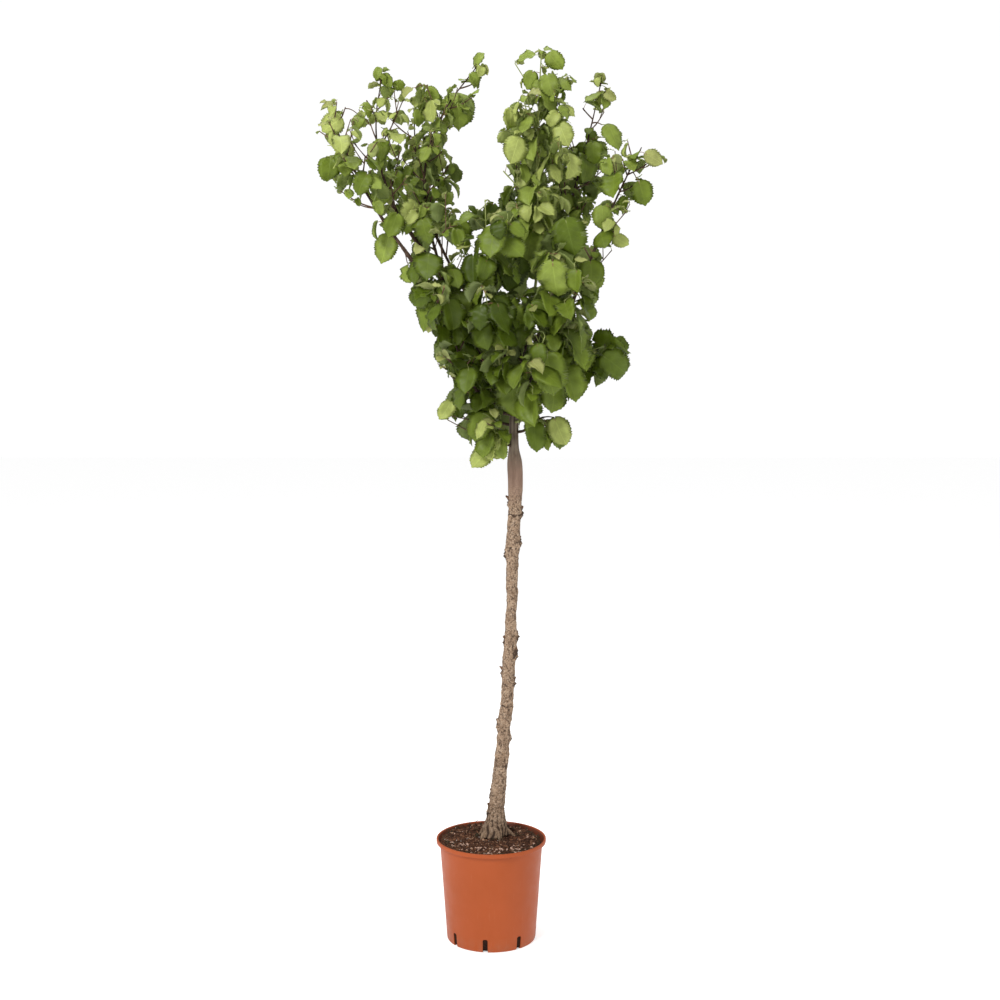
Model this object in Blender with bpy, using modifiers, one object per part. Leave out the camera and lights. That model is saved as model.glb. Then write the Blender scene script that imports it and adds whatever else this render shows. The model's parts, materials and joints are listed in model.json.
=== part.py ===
"""A young half-standard apricot tree in a round nursery pot, as separate solids.

The pot stands on its flat underside, centred on the origin, with +Z up and the tree's
front at -Y. The trunk stands on the soil. Boughs leave the trunk's head, and each mass
of foliage is a branching stem with its twigs and leaves fused into one solid.
All sizes are in metres.
"""

import math
import random

import bmesh
import bpy
from mathutils import Matrix, Vector
from mathutils.bvhtree import BVHTree

UP = Vector((0, 0, 1))
GAP = 0.0003  # the clearance kept between touching pieces
SHARP_ANGLE = math.radians(35)

# Pot
POT_HEIGHT = 0.205
POT_LIP_RADIUS = 0.110
POT_LIP_HEIGHT = 0.008
POT_LIP_ROUNDING = 0.002
POT_TOP_RADIUS = 0.1035
POT_FOOT_RADIUS = 0.089
POT_FOOT_ROUNDING = 0.003
POT_WALL = 0.0022
POT_FLOOR = 0.003
POT_STEPS = 32
SLOT_COUNT = 8
SLOT_WIDTH = 0.010
SLOT_HEIGHT = 0.027
SLOT_DEPTH = 0.016
SLOT_TURN = math.radians(-97.4)

# Soil
SOIL_EDGE = 0.192
SOIL_TOP = 0.205
SOIL_FLAT_RADIUS = 0.070

# Trunk: (height above the floor, x, y, radius), from the flat cut on the soil to the head
GROUND = SOIL_TOP + GAP
TRUNK = (
    (0.000, 0.0065, 0.0200, 0.0245),
    (0.014, 0.0075, 0.0200, 0.0218),
    (0.033, 0.0092, 0.0200, 0.0192),
    (0.056, 0.0112, 0.0200, 0.0166),
    (0.090, 0.0146, 0.0185, 0.0149),
    (0.145, 0.0204, 0.0170, 0.0138),
    (0.210, 0.0256, 0.0150, 0.0131),
    (0.305, 0.0332, 0.0120, 0.0125),
    (0.375, 0.0368, 0.0105, 0.0121),
    (0.440, 0.0396, 0.0095, 0.0104),
    (0.510, 0.0418, 0.0090, 0.0109),
    (0.600, 0.0434, 0.0085, 0.0130),
    (0.663, 0.0466, 0.0080, 0.0122),
    (0.715, 0.0478, 0.0080, 0.0148),
    (0.755, 0.0466, 0.0080, 0.0146),
    (0.785, 0.0448, 0.0080, 0.0098),
    (0.840, 0.0452, 0.0080, 0.0092),
    (0.885, 0.0482, 0.0080, 0.0113),
    (0.925, 0.0506, 0.0080, 0.0130),
    (0.955, 0.0520, 0.0070, 0.0115),
)
TRUNK_SIDES = 10
STUB_SIDES = 5

# Surface roots at the flare: how far they reach, and how high they leave the trunk
ROOT_COUNT = 7
ROOT_REACH = 0.040
ROOT_RISE = 0.034
ROOT_RADIUS = 0.0075

# Stubs of pruned shoots up the trunk: (height on the trunk, azimuth in degrees, length, radius)
KNOTS = (
    (0.048, 200, 0.010, 0.0045),
    (0.078, 165, 0.008, 0.0042),
    (0.196, 15, 0.007, 0.0040),
    (0.224, 185, 0.011, 0.0052),
    (0.311, 350, 0.010, 0.0050),
    (0.330, 175, 0.014, 0.0038),
    (0.370, 330, 0.012, 0.0072),
    (0.395, 190, 0.009, 0.0048),
    (0.404, 10, 0.011, 0.0058),
    (0.470, 95, 0.008, 0.0045),
    (0.530, 60, 0.009, 0.0050),
    (0.594, 352, 0.010, 0.0048),
    (0.568, 185, 0.011, 0.0060),
    (0.652, 10, 0.013, 0.0060),
    (0.672, 172, 0.014, 0.0042),
)

# Boughs: height where it leaves the trunk's axis, tip, bend of its middle, foot and tip radius
BOUGHS = {
    "bough_left": (0.900, (-0.155, -0.010, 1.405), (0.004, -0.004, -0.006), 0.0075, 0.0050),
    "bough_left_outer": (0.862, (-0.166, -0.078, 1.372), (0.010, -0.014, -0.010), 0.0064, 0.0046),
    "bough_left_inner": (0.928, (-0.062, 0.035, 1.315), (-0.004, 0.008, 0.0), 0.0060, 0.0046),
    "bough_left_back": (0.868, (-0.075, 0.105, 1.300), (0.004, 0.014, -0.004), 0.0056, 0.0044),
    "bough_leader": (0.945, (0.078, -0.025, 1.255), (0.004, -0.004, 0.0), 0.0080, 0.0052),
    "bough_back": (0.905, (0.040, 0.120, 1.320), (0.0, 0.014, -0.006), 0.0056, 0.0044),
    "bough_right": (0.912, (0.125, 0.030, 1.340), (0.012, 0.006, -0.006), 0.0064, 0.0046),
    "bough_right_outer": (0.882, (0.160, -0.050, 1.280), (0.006, -0.008, -0.006), 0.0060, 0.0044),
}
BOUGH_SIDES = 6
BOUGH_STATIONS = 5

# Masses of foliage: the bough or the height on the trunk that carries it, the tip of its stem,
# the bend of its stem's middle, the radius of its space at the foot, middle and tip, its seed,
# and its longest leaf
MASSES = {
    "foliage_left": (
        "bough_left", (-0.212, 0.005, 1.685), (-0.022, 0.0, 0.0),
        (0.100, 0.105, 0.075), 1, 0.062,
    ),
    "foliage_left_outer": (
        "bough_left_outer", (-0.303, -0.075, 1.640), (-0.012, 0.0, 0.0),
        (0.085, 0.090, 0.070), 29, 0.062,
    ),
    "foliage_left_inner": (
        "bough_left_inner", (-0.028, 0.020, 1.722), (-0.066, 0.0, 0.0),
        (0.080, 0.095, 0.055), 3, 0.066,
    ),
    "foliage_left_back": (
        "bough_left_back", (-0.155, 0.130, 1.660), (-0.014, 0.020, 0.0),
        (0.090, 0.105, 0.060), 4, 0.068,
    ),
    "foliage_left_front": (
        0.846, (-0.090, -0.120, 1.395), (-0.026, -0.014, -0.020),
        (0.080, 0.100, 0.085), 6, 0.084,
    ),
    "foliage_top": (
        "bough_leader", (0.096, -0.035, 1.742), (-0.004, 0.0, 0.0),
        (0.090, 0.105, 0.062), 16, 0.084,
    ),
    "foliage_back": (
        "bough_back", (0.085, 0.150, 1.600), (0.0, 0.016, 0.0),
        (0.090, 0.105, 0.070), 7, 0.080,
    ),
    "foliage_right": (
        "bough_right", (0.212, 0.030, 1.690), (0.004, 0.0, 0.0),
        (0.085, 0.090, 0.055), 8, 0.078,
    ),
    "foliage_right_outer": (
        "bough_right_outer", (0.286, -0.045, 1.562), (0.0, 0.0, 0.010),
        (0.065, 0.082, 0.070), 9, 0.070,
    ),
    "foliage_front": (
        0.908, (-0.010, -0.140, 1.455), (-0.006, -0.030, -0.030),
        (0.085, 0.110, 0.085), 10, 0.092,
    ),
    "foliage_right_back": (
        0.878, (0.170, 0.135, 1.400), (0.006, 0.010, -0.010),
        (0.080, 0.105, 0.085), 11, 0.082,
    ),
    "foliage_low_left": (
        0.826, (-0.072, 0.015, 1.225), (-0.012, 0.0, -0.020),
        (0.080, 0.092, 0.085), 20, 0.082,
    ),
    "foliage_low_right": (
        0.858, (0.252, -0.015, 1.228), (0.0, 0.0, -0.006),
        (0.080, 0.090, 0.090), 14, 0.100,
    ),
    "foliage_low_front": (
        0.832, (0.110, -0.125, 1.335), (0.016, -0.024, -0.022),
        (0.095, 0.110, 0.090), 15, 0.092,
    ),
    "foliage_low_back": (
        0.850, (0.020, 0.150, 1.230), (0.0, 0.015, -0.010),
        (0.085, 0.110, 0.095), 15, 0.084,
    ),
    "foliage_lowest_left": (
        0.786, (-0.018, -0.040, 1.030), (0.0, 0.0, 0.004),
        (0.100, 0.105, 0.095), 24, 0.078,
    ),
    "foliage_lowest_right": (
        0.812, (0.122, -0.036, 1.050), (0.0, 0.0, 0.010),
        (0.100, 0.105, 0.095), 22, 0.078,
    ),
}
STEM_STATIONS = 6
STEM_RADIUS = 0.0042
STEM_TIP_RADIUS = 0.0021
STEM_LEAD = 0.15  # how far a stem runs straight on from its bough, of its reach
LIMB_CLEARANCE = 0.003

# Side twigs of a mass
TWIG_SPACING = 0.048
TWIG_TURN = math.radians(137.5)
TWIG_LEAN = math.radians(48)
TWIG_RISE = 0.28
TWIG_RADIUS = 0.0025
TWIG_TIP_RADIUS = 0.0019
TWIG_STATIONS = 3
TWIG_REACH = (0.60, 0.95)  # of the radius of its space
TWIG_FEET = (0.10, 0.88)  # where the twigs leave the stem, as shares of it
TWIG_RETRY = 0.86  # how far a twig that doesn't fit is cut back, of its reach
SHORTEST_TWIG = 0.028

# Leaves
LEAF_SPACING = 0.028
LEAF_TURN = math.radians(144)
LEAF_LEAN = math.radians(62)
LEAF_TRIES = 9
LEAF_RETRY_TURN = 1.3  # how far a leaf that doesn't fit is turned on
LEAF_RETRY_SIZE = 0.965  # and its next length, of the last
LEAF_SPREAD = (0.80, 1.04)  # the range of its length
LEAF_WIDTH = 0.90  # of its length
LEAF_STALK = 0.36  # of its length
LEAF_THICKNESS = 0.016  # of its length
TIP_LEAF = 0.45  # the length of a leaf at a twig's tip, of the longest
STEM_BARE = 0.14  # the share of a stem below its first leaf
TWIG_BARE = 0.22
TIP_SHARE = 0.995  # how far along its twig the last leaf may grow
YOUNG_SHARE = 0.9  # beyond this the leaves are young, and don't hang yet
STALK_RADIUS = 0.0007
# (how far along the blade, share of the full width) of the blade's sections, before its tip
BLADE_SECTIONS = ((0.28, 0.94), (0.70, 0.78))
BLADE_ARCH = 0.14  # how far the tip bends down, of its length

COLOURS = {
    "pot_plastic": ((0.47, 0.12, 0.048), 0.42),
    "soil": ((0.055, 0.030, 0.017), 0.95),
    "bark": ((0.31, 0.21, 0.14), 0.85),
    "leaf": ((0.11, 0.17, 0.035), 0.55),
}


# ---------------------------------------------------------------- scene and materials


def clear_scene():
    for obj in list(bpy.data.objects):
        bpy.data.objects.remove(obj)


def make_material(name):
    colour, roughness = COLOURS[name]
    material = bpy.data.materials.new(name)
    material.use_nodes = True
    shader = material.node_tree.nodes["Principled BSDF"]
    shader.inputs["Base Color"].default_value = (*colour, 1)
    shader.inputs["Roughness"].default_value = roughness
    shader.inputs["Metallic"].default_value = 0
    material.diffuse_color = (*colour, 1)
    return material


def make_collection(name):
    collection = bpy.data.collections.new(name)
    bpy.context.scene.collection.children.link(collection)
    return collection


def link_mesh(name, mesh, collection):
    obj = bpy.data.objects.new(name, mesh)
    collection.objects.link(obj)
    return obj


def make_helper(obj):
    """A cutter, which isn't a piece of the plant."""
    obj.hide_render = True
    obj.display_type = "WIRE"
    return obj


def apply_modifiers(obj):
    graph = bpy.context.evaluated_depsgraph_get()
    mesh = bpy.data.meshes.new_from_object(obj.evaluated_get(graph))
    obj.modifiers.clear()
    obj.data = mesh


def boolean(obj, operation, other, solver="EXACT"):
    """Joins or cuts obj with another object or a whole collection, and applies it."""
    modifier = obj.modifiers.new(operation.title(), "BOOLEAN")
    modifier.operation = operation
    modifier.solver = solver
    if isinstance(other, bpy.types.Collection):
        modifier.operand_type = "COLLECTION"
        modifier.collection = other
    else:
        modifier.object = other
    apply_modifiers(obj)


def shade_round(obj):
    """Smooth shading, but for edges sharper than the angle."""
    obj.data.shade_smooth()
    obj.data.set_sharp_from_angle(angle=SHARP_ANGLE)


def remove_collection(collection):
    for obj in list(collection.objects):
        bpy.data.objects.remove(obj)
    bpy.data.collections.remove(collection)


def keep_largest_body(mesh):
    """Drops every shell but the largest: a sealed hollow is filled, and a loose scrap goes."""
    bm = bmesh.new()
    bm.from_mesh(mesh)
    left = set(bm.faces)
    shells = []
    while left:
        shell = [left.pop()]
        for face in shell:
            for edge in face.edges:
                for other in edge.link_faces:
                    if other in left:
                        left.remove(other)
                        shell.append(other)
        shells.append(shell)
    largest = max(shells, key=lambda shell: sum(face.calc_area() for face in shell))
    gone = [face for shell in shells if shell is not largest for face in shell]
    bmesh.ops.delete(bm, geom=gone, context="FACES")
    bm.to_mesh(mesh)
    bm.free()


# ---------------------------------------------------------------- pot and soil


def turned(name, profile, collection):
    """A solid turned about Z from (radius, height) points that run down its outer side."""
    mesh = bpy.data.meshes.new(name)
    edges = [(i, i + 1) for i in range(len(profile) - 1)]
    mesh.from_pydata([(radius, 0, height) for radius, height in profile], edges, [])
    obj = link_mesh(name, mesh, collection)
    screw = obj.modifiers.new("Turn", "SCREW")
    screw.axis = "Z"
    screw.steps = screw.render_steps = POT_STEPS
    screw.use_merge_vertices = True
    screw.merge_threshold = 0.0001
    screw.use_smooth_shade = False
    return obj


def wall_radius(height):
    """The pot wall's outer radius at a height."""
    share = height / POT_HEIGHT
    return POT_FOOT_RADIUS + (POT_TOP_RADIUS - POT_FOOT_RADIUS) * share


def make_pot(collection, cutters):
    lip_foot = POT_HEIGHT - POT_LIP_HEIGHT
    rounding = POT_LIP_ROUNDING
    profile = [
        (0, POT_FLOOR),
        (wall_radius(POT_FLOOR) - POT_WALL, POT_FLOOR),
        (wall_radius(POT_HEIGHT) - POT_WALL, POT_HEIGHT - rounding),
        (wall_radius(POT_HEIGHT) - POT_WALL + rounding, POT_HEIGHT),
        (POT_LIP_RADIUS - rounding, POT_HEIGHT),
        (POT_LIP_RADIUS, POT_HEIGHT - rounding),
        (POT_LIP_RADIUS, lip_foot + rounding),
        (POT_LIP_RADIUS - rounding, lip_foot),
        (wall_radius(lip_foot), lip_foot),
        (wall_radius(POT_FOOT_ROUNDING), POT_FOOT_ROUNDING),
        (POT_FOOT_RADIUS - POT_FOOT_ROUNDING, 0),
        (0, 0),
    ]
    pot = turned("pot", profile, collection)
    apply_modifiers(pot)
    for i in range(SLOT_COUNT):
        mesh = bpy.data.meshes.new(f"slot_{i}")
        bm = bmesh.new()
        bmesh.ops.create_cube(bm, size=1)
        bmesh.ops.scale(bm, vec=(2 * SLOT_DEPTH, SLOT_WIDTH, 2 * SLOT_HEIGHT), verts=bm.verts)
        bm.to_mesh(mesh)
        bm.free()
        cutter = make_helper(link_mesh(mesh.name, mesh, cutters))
        angle = SLOT_TURN + i * math.tau / SLOT_COUNT
        outward = Vector((math.cos(angle), math.sin(angle), 0))
        cutter.matrix_world = Matrix.Translation(outward * POT_FOOT_RADIUS) @ Matrix.Rotation(angle, 4, "Z")
        boolean(pot, "DIFFERENCE", cutter)
    shade_round(pot)
    return pot


def make_soil(collection):
    base = POT_FLOOR + GAP
    profile = [
        (0, SOIL_TOP),
        (SOIL_FLAT_RADIUS, SOIL_TOP),
        (wall_radius(SOIL_EDGE) - POT_WALL - GAP, SOIL_EDGE),
        (wall_radius(base) - POT_WALL - GAP, base),
        (0, base),
    ]
    soil = turned("soil", profile, collection)
    apply_modifiers(soil)
    return soil


# ---------------------------------------------------------------- limbs


def tube_mesh(name, stations, sides):
    """A tapered limb with flat ends through (point, radius) stations, as a closed mesh."""
    section_curve = bpy.data.curves.new(f"{name}_section", "CURVE")
    section = section_curve.splines.new("POLY")
    section.points.add(sides - 1)
    section.use_cyclic_u = True
    for i, point in enumerate(section.points):
        angle = i * math.tau / sides
        point.co = (math.cos(angle), math.sin(angle), 0, 1)
    section_obj = bpy.data.objects.new(section_curve.name, section_curve)
    curve = bpy.data.curves.new(name, "CURVE")
    curve.dimensions = "3D"
    curve.bevel_mode = "OBJECT"
    curve.bevel_object = section_obj
    curve.use_fill_caps = True
    spline = curve.splines.new("POLY")
    spline.points.add(len(stations) - 1)
    for point, (place, radius) in zip(spline.points, stations):
        point.co = (*place, 1)
        point.radius = radius
    bent = bpy.data.objects.new(name, curve)
    bpy.context.scene.collection.objects.link(bent)
    graph = bpy.context.evaluated_depsgraph_get()
    mesh = bpy.data.meshes.new_from_object(bent.evaluated_get(graph))
    bpy.data.objects.remove(bent)
    bpy.data.objects.remove(section_obj)
    bm = bmesh.new()
    bm.from_mesh(mesh)
    bmesh.ops.remove_doubles(bm, verts=bm.verts, dist=1e-6)
    bmesh.ops.recalc_face_normals(bm, faces=bm.faces)
    bm.to_mesh(mesh)
    bm.free()
    return mesh


def tube(name, stations, sides, collection):
    return link_mesh(name, tube_mesh(name, stations, sides), collection)


def bent_path(start, tip, bend, count):
    """count points from start to tip, on an arc whose middle is moved by bend."""
    points = []
    for i in range(count):
        share = i / (count - 1)
        points.append(start.lerp(tip, share) + bend * (4 * share * (1 - share)))
    return points


def trunk_at(height):
    """The trunk's axis point and radius at a height above the ground."""
    for (low, *low_rest), (high, *high_rest) in zip(TRUNK, TRUNK[1:]):
        if height <= high:
            share = max(0.0, (height - low) / (high - low))
            x, y, radius = (a + (b - a) * share for a, b in zip(low_rest, high_rest))
            return Vector((x, y, GROUND + height)), radius
    top, x, y, radius = TRUNK[-1]
    return Vector((x, y, GROUND + top)), radius


def trunk_stations():
    return [(Vector((x, y, GROUND + height)), radius) for height, x, y, radius in TRUNK]


def clearance_stations():
    """The trunk's stations grown by the gap, for cutting the feet of the boughs."""
    grown = [(place, radius + GAP) for place, radius in trunk_stations()]
    top, radius = grown[-1]
    return grown + [(top + UP * GAP, radius)]


def bough_stations(name):
    """(point, radius) from the trunk's axis to the bough's tip."""
    height, tip, bend, foot_radius, tip_radius = BOUGHS[name]
    path = bent_path(trunk_at(height)[0], Vector(tip), Vector(bend), BOUGH_STATIONS)
    steps = BOUGH_STATIONS - 1
    return [(p, foot_radius + (tip_radius - foot_radius) * i / steps) for i, p in enumerate(path)]


def make_root(index, collection):
    """One surface root, from inside the trunk out to the soil."""
    angle = index * math.tau / ROOT_COUNT + 0.35 * math.sin(5.0 * index)
    reach = ROOT_REACH * (0.85 + 0.15 * math.cos(3.0 * index))
    outward = Vector((math.cos(angle), math.sin(angle), 0))
    foot, _ = trunk_at(0)
    stations = [
        (foot + outward * 0.006 + UP * ROOT_RISE, ROOT_RADIUS * 0.8),
        (foot + outward * reach * 0.6 + UP * ROOT_RISE * 0.30, ROOT_RADIUS * 0.8),
        (foot + outward * reach - UP * 0.006, ROOT_RADIUS * 0.7),
    ]
    return tube(f"root_{index}", stations, STUB_SIDES, collection)


def make_knot(index, collection):
    """The stub of a pruned shoot, with its foot inside the trunk."""
    height, azimuth, length, radius = KNOTS[index]
    centre, trunk_radius = trunk_at(height)
    angle = math.radians(azimuth)
    outward = Vector((math.cos(angle), math.sin(angle), 0.45)).normalized()
    stations = [
        (centre, radius * 1.3),
        (centre + outward * trunk_radius, radius * 1.15),
        (centre + outward * (trunk_radius + length * 0.7), radius * 0.8),
    ]
    return tube(f"knot_{index}", stations, STUB_SIDES, collection)


def make_trunk(collection, cutters):
    trunk = tube("trunk", trunk_stations(), TRUNK_SIDES, collection)
    fused = make_collection("trunk_fused")
    for i in range(ROOT_COUNT):
        make_root(i, fused)
    for i in range(len(KNOTS)):
        make_knot(i, fused)
    boolean(trunk, "UNION", fused)
    remove_collection(fused)
    side = 4 * ROOT_REACH
    below = bpy.data.meshes.new("below_ground")
    bm = bmesh.new()
    bmesh.ops.create_cube(bm, size=side)
    bmesh.ops.translate(bm, vec=trunk_at(0)[0] - UP * side / 2, verts=bm.verts)
    bm.to_mesh(below)
    bm.free()
    boolean(trunk, "DIFFERENCE", make_helper(link_mesh(below.name, below, cutters)))
    return trunk


def make_boughs(collection, cutters):
    grown = make_helper(tube("trunk_clearance", clearance_stations(), TRUNK_SIDES, cutters))
    boughs = []
    for name in BOUGHS:
        bough = tube(name, bough_stations(name), BOUGH_SIDES, collection)
        boolean(bough, "DIFFERENCE", grown)
        boughs.append(bough)
    return boughs


# ---------------------------------------------------------------- room for the masses


def stem_path(name):
    """The points of a mass's stem, from its bough's tip or the trunk to its own tip."""
    carrier, tip, bend, _, _, _ = MASSES[name]
    tip = Vector(tip)
    if carrier in BOUGHS:
        stations = bough_stations(carrier)
        onward = (stations[-1][0] - stations[-2][0]).normalized()
        start = stations[-1][0] + onward * GAP
    else:
        centre, radius = trunk_at(carrier)
        onward = (tip - centre) * Vector((1, 1, 0))
        onward = (onward.normalized() + UP * 0.25).normalized()
        start = centre + onward * (radius + STEM_RADIUS * 0.4 + GAP)
    lead = start + onward * (tip - start).length * STEM_LEAD
    return [start] + bent_path(lead, tip, Vector(bend), STEM_STATIONS)


def nearest(path, point):
    """(distance, share along the path) of the place on the path nearest to a point."""
    best = (math.inf, 0.0)
    for i, (a, b) in enumerate(zip(path, path[1:])):
        run = b - a
        share = min(1.0, max(0.0, (point - a).dot(run) / run.length_squared))
        distance = (point - a - run * share).length
        if distance < best[0]:
            best = (distance, (i + share) / (len(path) - 1))
    return best


def space_radius(radii, share):
    """The radius of a mass's space, by its radius at the foot, the middle and the tip."""
    foot, middle, tip = radii
    back = 1 - share
    return foot * back * (1 - 2 * share) + middle * 4 * share * back + tip * share * (2 * share - 1)


def tree_of(mesh):
    """A mesh's faces, for finding what crosses them."""
    return BVHTree.FromPolygons([v.co for v in mesh.vertices], [p.vertices for p in mesh.polygons])


def ball_round(mesh):
    """The centre and radius of a ball that holds a mesh."""
    points = [v.co for v in mesh.vertices]
    centre = sum(points, Vector()) / len(points)
    return centre, max((point - centre).length for point in points)


class Room:
    """What a new twig or leaf may fill: its mass's own space, clear of all that has grown."""

    def __init__(self, limbs):
        self.paths = {name: stem_path(name) for name in MASSES}
        self.limbs = [tree_of(limb.data) for limb in limbs]
        self.grown = []

    def share(self, name, point):
        """How far out in a mass's space a point is, where 1 is the edge."""
        distance, along = nearest(self.paths[name], point)
        return distance / space_radius(MASSES[name][3], along)

    def within(self, name, point):
        """True where a point is in the mass's space, and further in than in any other's."""
        own = self.share(name, point)
        return own < 1 and all(self.share(other, point) > own * 1.02 for other in MASSES if other != name)

    def clear_of_limbs(self, point, distance):
        return all(tree.find_nearest(point, distance)[0] is None for tree in self.limbs)

    def crossed(self, mesh):
        """True where a mesh crosses a limb, or a twig or leaf that has grown."""
        tree = tree_of(mesh)
        centre, radius = ball_round(mesh)
        near = [other for place, reach, other in self.grown if (place - centre).length < reach + radius]
        return any(tree.overlap(other) for other in self.limbs + near)

    def keep(self, mesh):
        """Notes a twig or leaf that has grown."""
        self.grown.append((*ball_round(mesh), tree_of(mesh)))


# ---------------------------------------------------------------- growth rule


def across(direction):
    """A unit vector at right angles to a direction."""
    other = UP if abs(direction.z) < 0.9 else Vector((1, 0, 0))
    return direction.cross(other).normalized()


def along_path(path, share):
    """The point and direction at a share of a path's length."""
    place = share * (len(path) - 1)
    i = min(len(path) - 2, int(place))
    run = path[i + 1] - path[i]
    return path[i] + run * (place - i), run.normalized()


def length_of(path):
    return sum((b - a).length for a, b in zip(path, path[1:]))


class Leaf:
    """One leaf: its root, the end of its stalk, the directions of its blade and side, its length."""

    def __init__(self, root, neck, blade, side, length):
        self.root = root
        self.neck = neck
        self.blade = blade
        self.side = side
        self.normal = side.cross(blade).normalized()
        self.length = length

    def at(self, along, width=0.0):
        """A point of the blade: along it, and out to a side by a share of its half width."""
        droop = self.normal * (BLADE_ARCH * self.length * along * along)
        return self.neck + (self.blade * along + self.side * (width * LEAF_WIDTH / 2)) * self.length - droop

    def outline(self):
        """The neck, the tip and the edges of the blade."""
        edges = [self.at(along, width * turn) for along, width in BLADE_SECTIONS for turn in (1, -1)]
        return [self.neck, self.at(1.0)] + edges

    def mesh(self, name, first=0.0):
        """The leaf as a three-sided loft: its stalk from a share of its length, its blade, its tip."""
        root = self.root.lerp(self.neck, first)
        stalk = (self.neck - self.root).normalized()
        side = self.side - stalk * self.side.dot(stalk)
        side = side.normalized() if side.length > 0.05 else across(stalk)
        section = [side * STALK_RADIUS, -side * STALK_RADIUS, stalk.cross(side) * STALK_RADIUS * 1.2]
        keel = -self.normal * (LEAF_THICKNESS * self.length)
        rings = [[root + point for point in section], [self.neck + point * 1.4 for point in section]]
        for along, width in BLADE_SECTIONS:
            rings.append((self.at(along, width), self.at(along, -width), self.at(along) + keel))
        points = [point for ring in rings for point in ring] + [self.at(1.0)]
        faces = [(0, 1, 2)]
        for i in range(len(rings) - 1):
            for k in range(3):
                a, b = 3 * i + k, 3 * i + (k + 1) % 3
                faces += [(a, a + 3, b + 3), (a, b + 3, b)]
        end = 3 * len(rings) - 3
        faces += [(end + k, len(points) - 1, end + (k + 1) % 3) for k in range(3)]
        mesh = bpy.data.meshes.new(name)
        mesh.from_pydata(points, [], faces)
        return mesh


def grow_leaf(rng, path, share, turn, length, young):
    """A leaf at a share of a twig, turned about it, with a blade that hangs unless it is young."""
    root, onward = along_path(path, share)
    outward = Matrix.Rotation(turn, 3, onward) @ across(onward)
    lean = LEAF_LEAN * rng.uniform(0.8, 1.15)
    stalk = (onward * math.cos(lean) + outward * math.sin(lean)).normalized()
    neck = root + stalk * (LEAF_STALK * length * rng.uniform(0.8, 1.2))
    level = stalk * Vector((1, 1, 0))
    if level.length < 0.1:
        level = outward * Vector((1, 1, 0))
    hang = math.radians(rng.uniform(-30, 35) if young else rng.uniform(25, 78))
    blade = level.normalized() * math.cos(hang) - UP * math.sin(hang)
    side = Matrix.Rotation(math.radians(rng.uniform(-40, 40)), 3, blade) @ blade.cross(UP).normalized()
    return Leaf(root, neck, blade, side, length)


def grow_leaves(rng, room, name, path, first, longest):
    """The leaves of one twig, each turned on from the last. One that never fits is left out."""
    count = max(2, round(length_of(path) * (1 - first) / LEAF_SPACING))
    turn = rng.uniform(0, math.tau)
    leaves = []
    for i in range(count):
        share = first + (TIP_SHARE - first) * (i + 0.7) / (count - 0.3)
        share = min(share, TIP_SHARE)
        turn += LEAF_TURN
        length = longest * (1 - (1 - TIP_LEAF) * share**4) * rng.uniform(*LEAF_SPREAD)
        for attempt in range(LEAF_TRIES):
            retry_turn = turn + LEAF_RETRY_TURN * attempt
            leaf = grow_leaf(rng, path, share, retry_turn, length, share > YOUNG_SHARE)
            length *= LEAF_RETRY_SIZE
            inside = all(room.within(name, point) for point in leaf.outline())
            if inside and not room.crossed(leaf.mesh("blade", 0.35)):
                leaves.append(leaf.mesh(f"{name}_leaf"))
                room.keep(leaves[-1])
                break
    return leaves


def grow_twig(rng, room, name, share, turn):
    """A side twig of a mass's stem, cut short until it fits, or None."""
    foot, onward = along_path(room.paths[name], share)
    outward = Matrix.Rotation(turn, 3, onward) @ across(onward)
    lean = TWIG_LEAN * rng.uniform(0.85, 1.35)
    heading = (onward * math.cos(lean) + outward * math.sin(lean)).normalized()
    reach = space_radius(MASSES[name][3], share) * rng.uniform(*TWIG_REACH)
    while reach > SHORTEST_TWIG:
        rise = UP * (TWIG_RISE * reach)
        path = bent_path(foot, foot + heading * reach + rise, -rise * 0.25, TWIG_STATIONS)
        taper = (TWIG_TIP_RADIUS - TWIG_RADIUS) / (TWIG_STATIONS - 1)
        stations = [(point, TWIG_RADIUS + taper * i) for i, point in enumerate(path)]
        clear = all(room.clear_of_limbs(point, LIMB_CLEARANCE) for point in path[1:])
        if clear and all(room.within(name, point) for point in path[1:]):
            if not room.crossed(tube_mesh("shoot", stations[1:], 3)):
                return stations
        reach *= TWIG_RETRY
    return None


def grow_masses(room):
    """For each mass its twigs, as lists of (point, radius), and its leaves, as meshes."""
    twigs, leaves = {}, {}
    low, high = TWIG_FEET
    for name, (*_, seed, _) in MASSES.items():
        rng = random.Random(seed)
        stem = room.paths[name]
        taper = (STEM_TIP_RADIUS - STEM_RADIUS) / (len(stem) - 1)
        twigs[name] = [[(point, STEM_RADIUS + taper * i) for i, point in enumerate(stem)]]
        count = max(1, round(length_of(stem) / TWIG_SPACING))
        turn = rng.uniform(0, math.tau)
        for i in range(count):
            turn += TWIG_TURN
            share = low + (high - low) * (i + rng.uniform(0.2, 0.8)) / count
            twig = grow_twig(rng, room, name, share, turn)
            if twig:
                twigs[name].append(twig)
        for twig in twigs[name]:
            room.keep(tube_mesh(f"{name}_twig", twig, 3))
    for name, (*_, seed, longest) in MASSES.items():
        rng = random.Random(seed + 100)
        leaves[name] = []
        for twig in twigs[name]:
            first = STEM_BARE if twig is twigs[name][0] else TWIG_BARE
            leaves[name] += grow_leaves(rng, room, name, [point for point, _ in twig], first, longest)
    return twigs, leaves


# ---------------------------------------------------------------- solids of the masses


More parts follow.
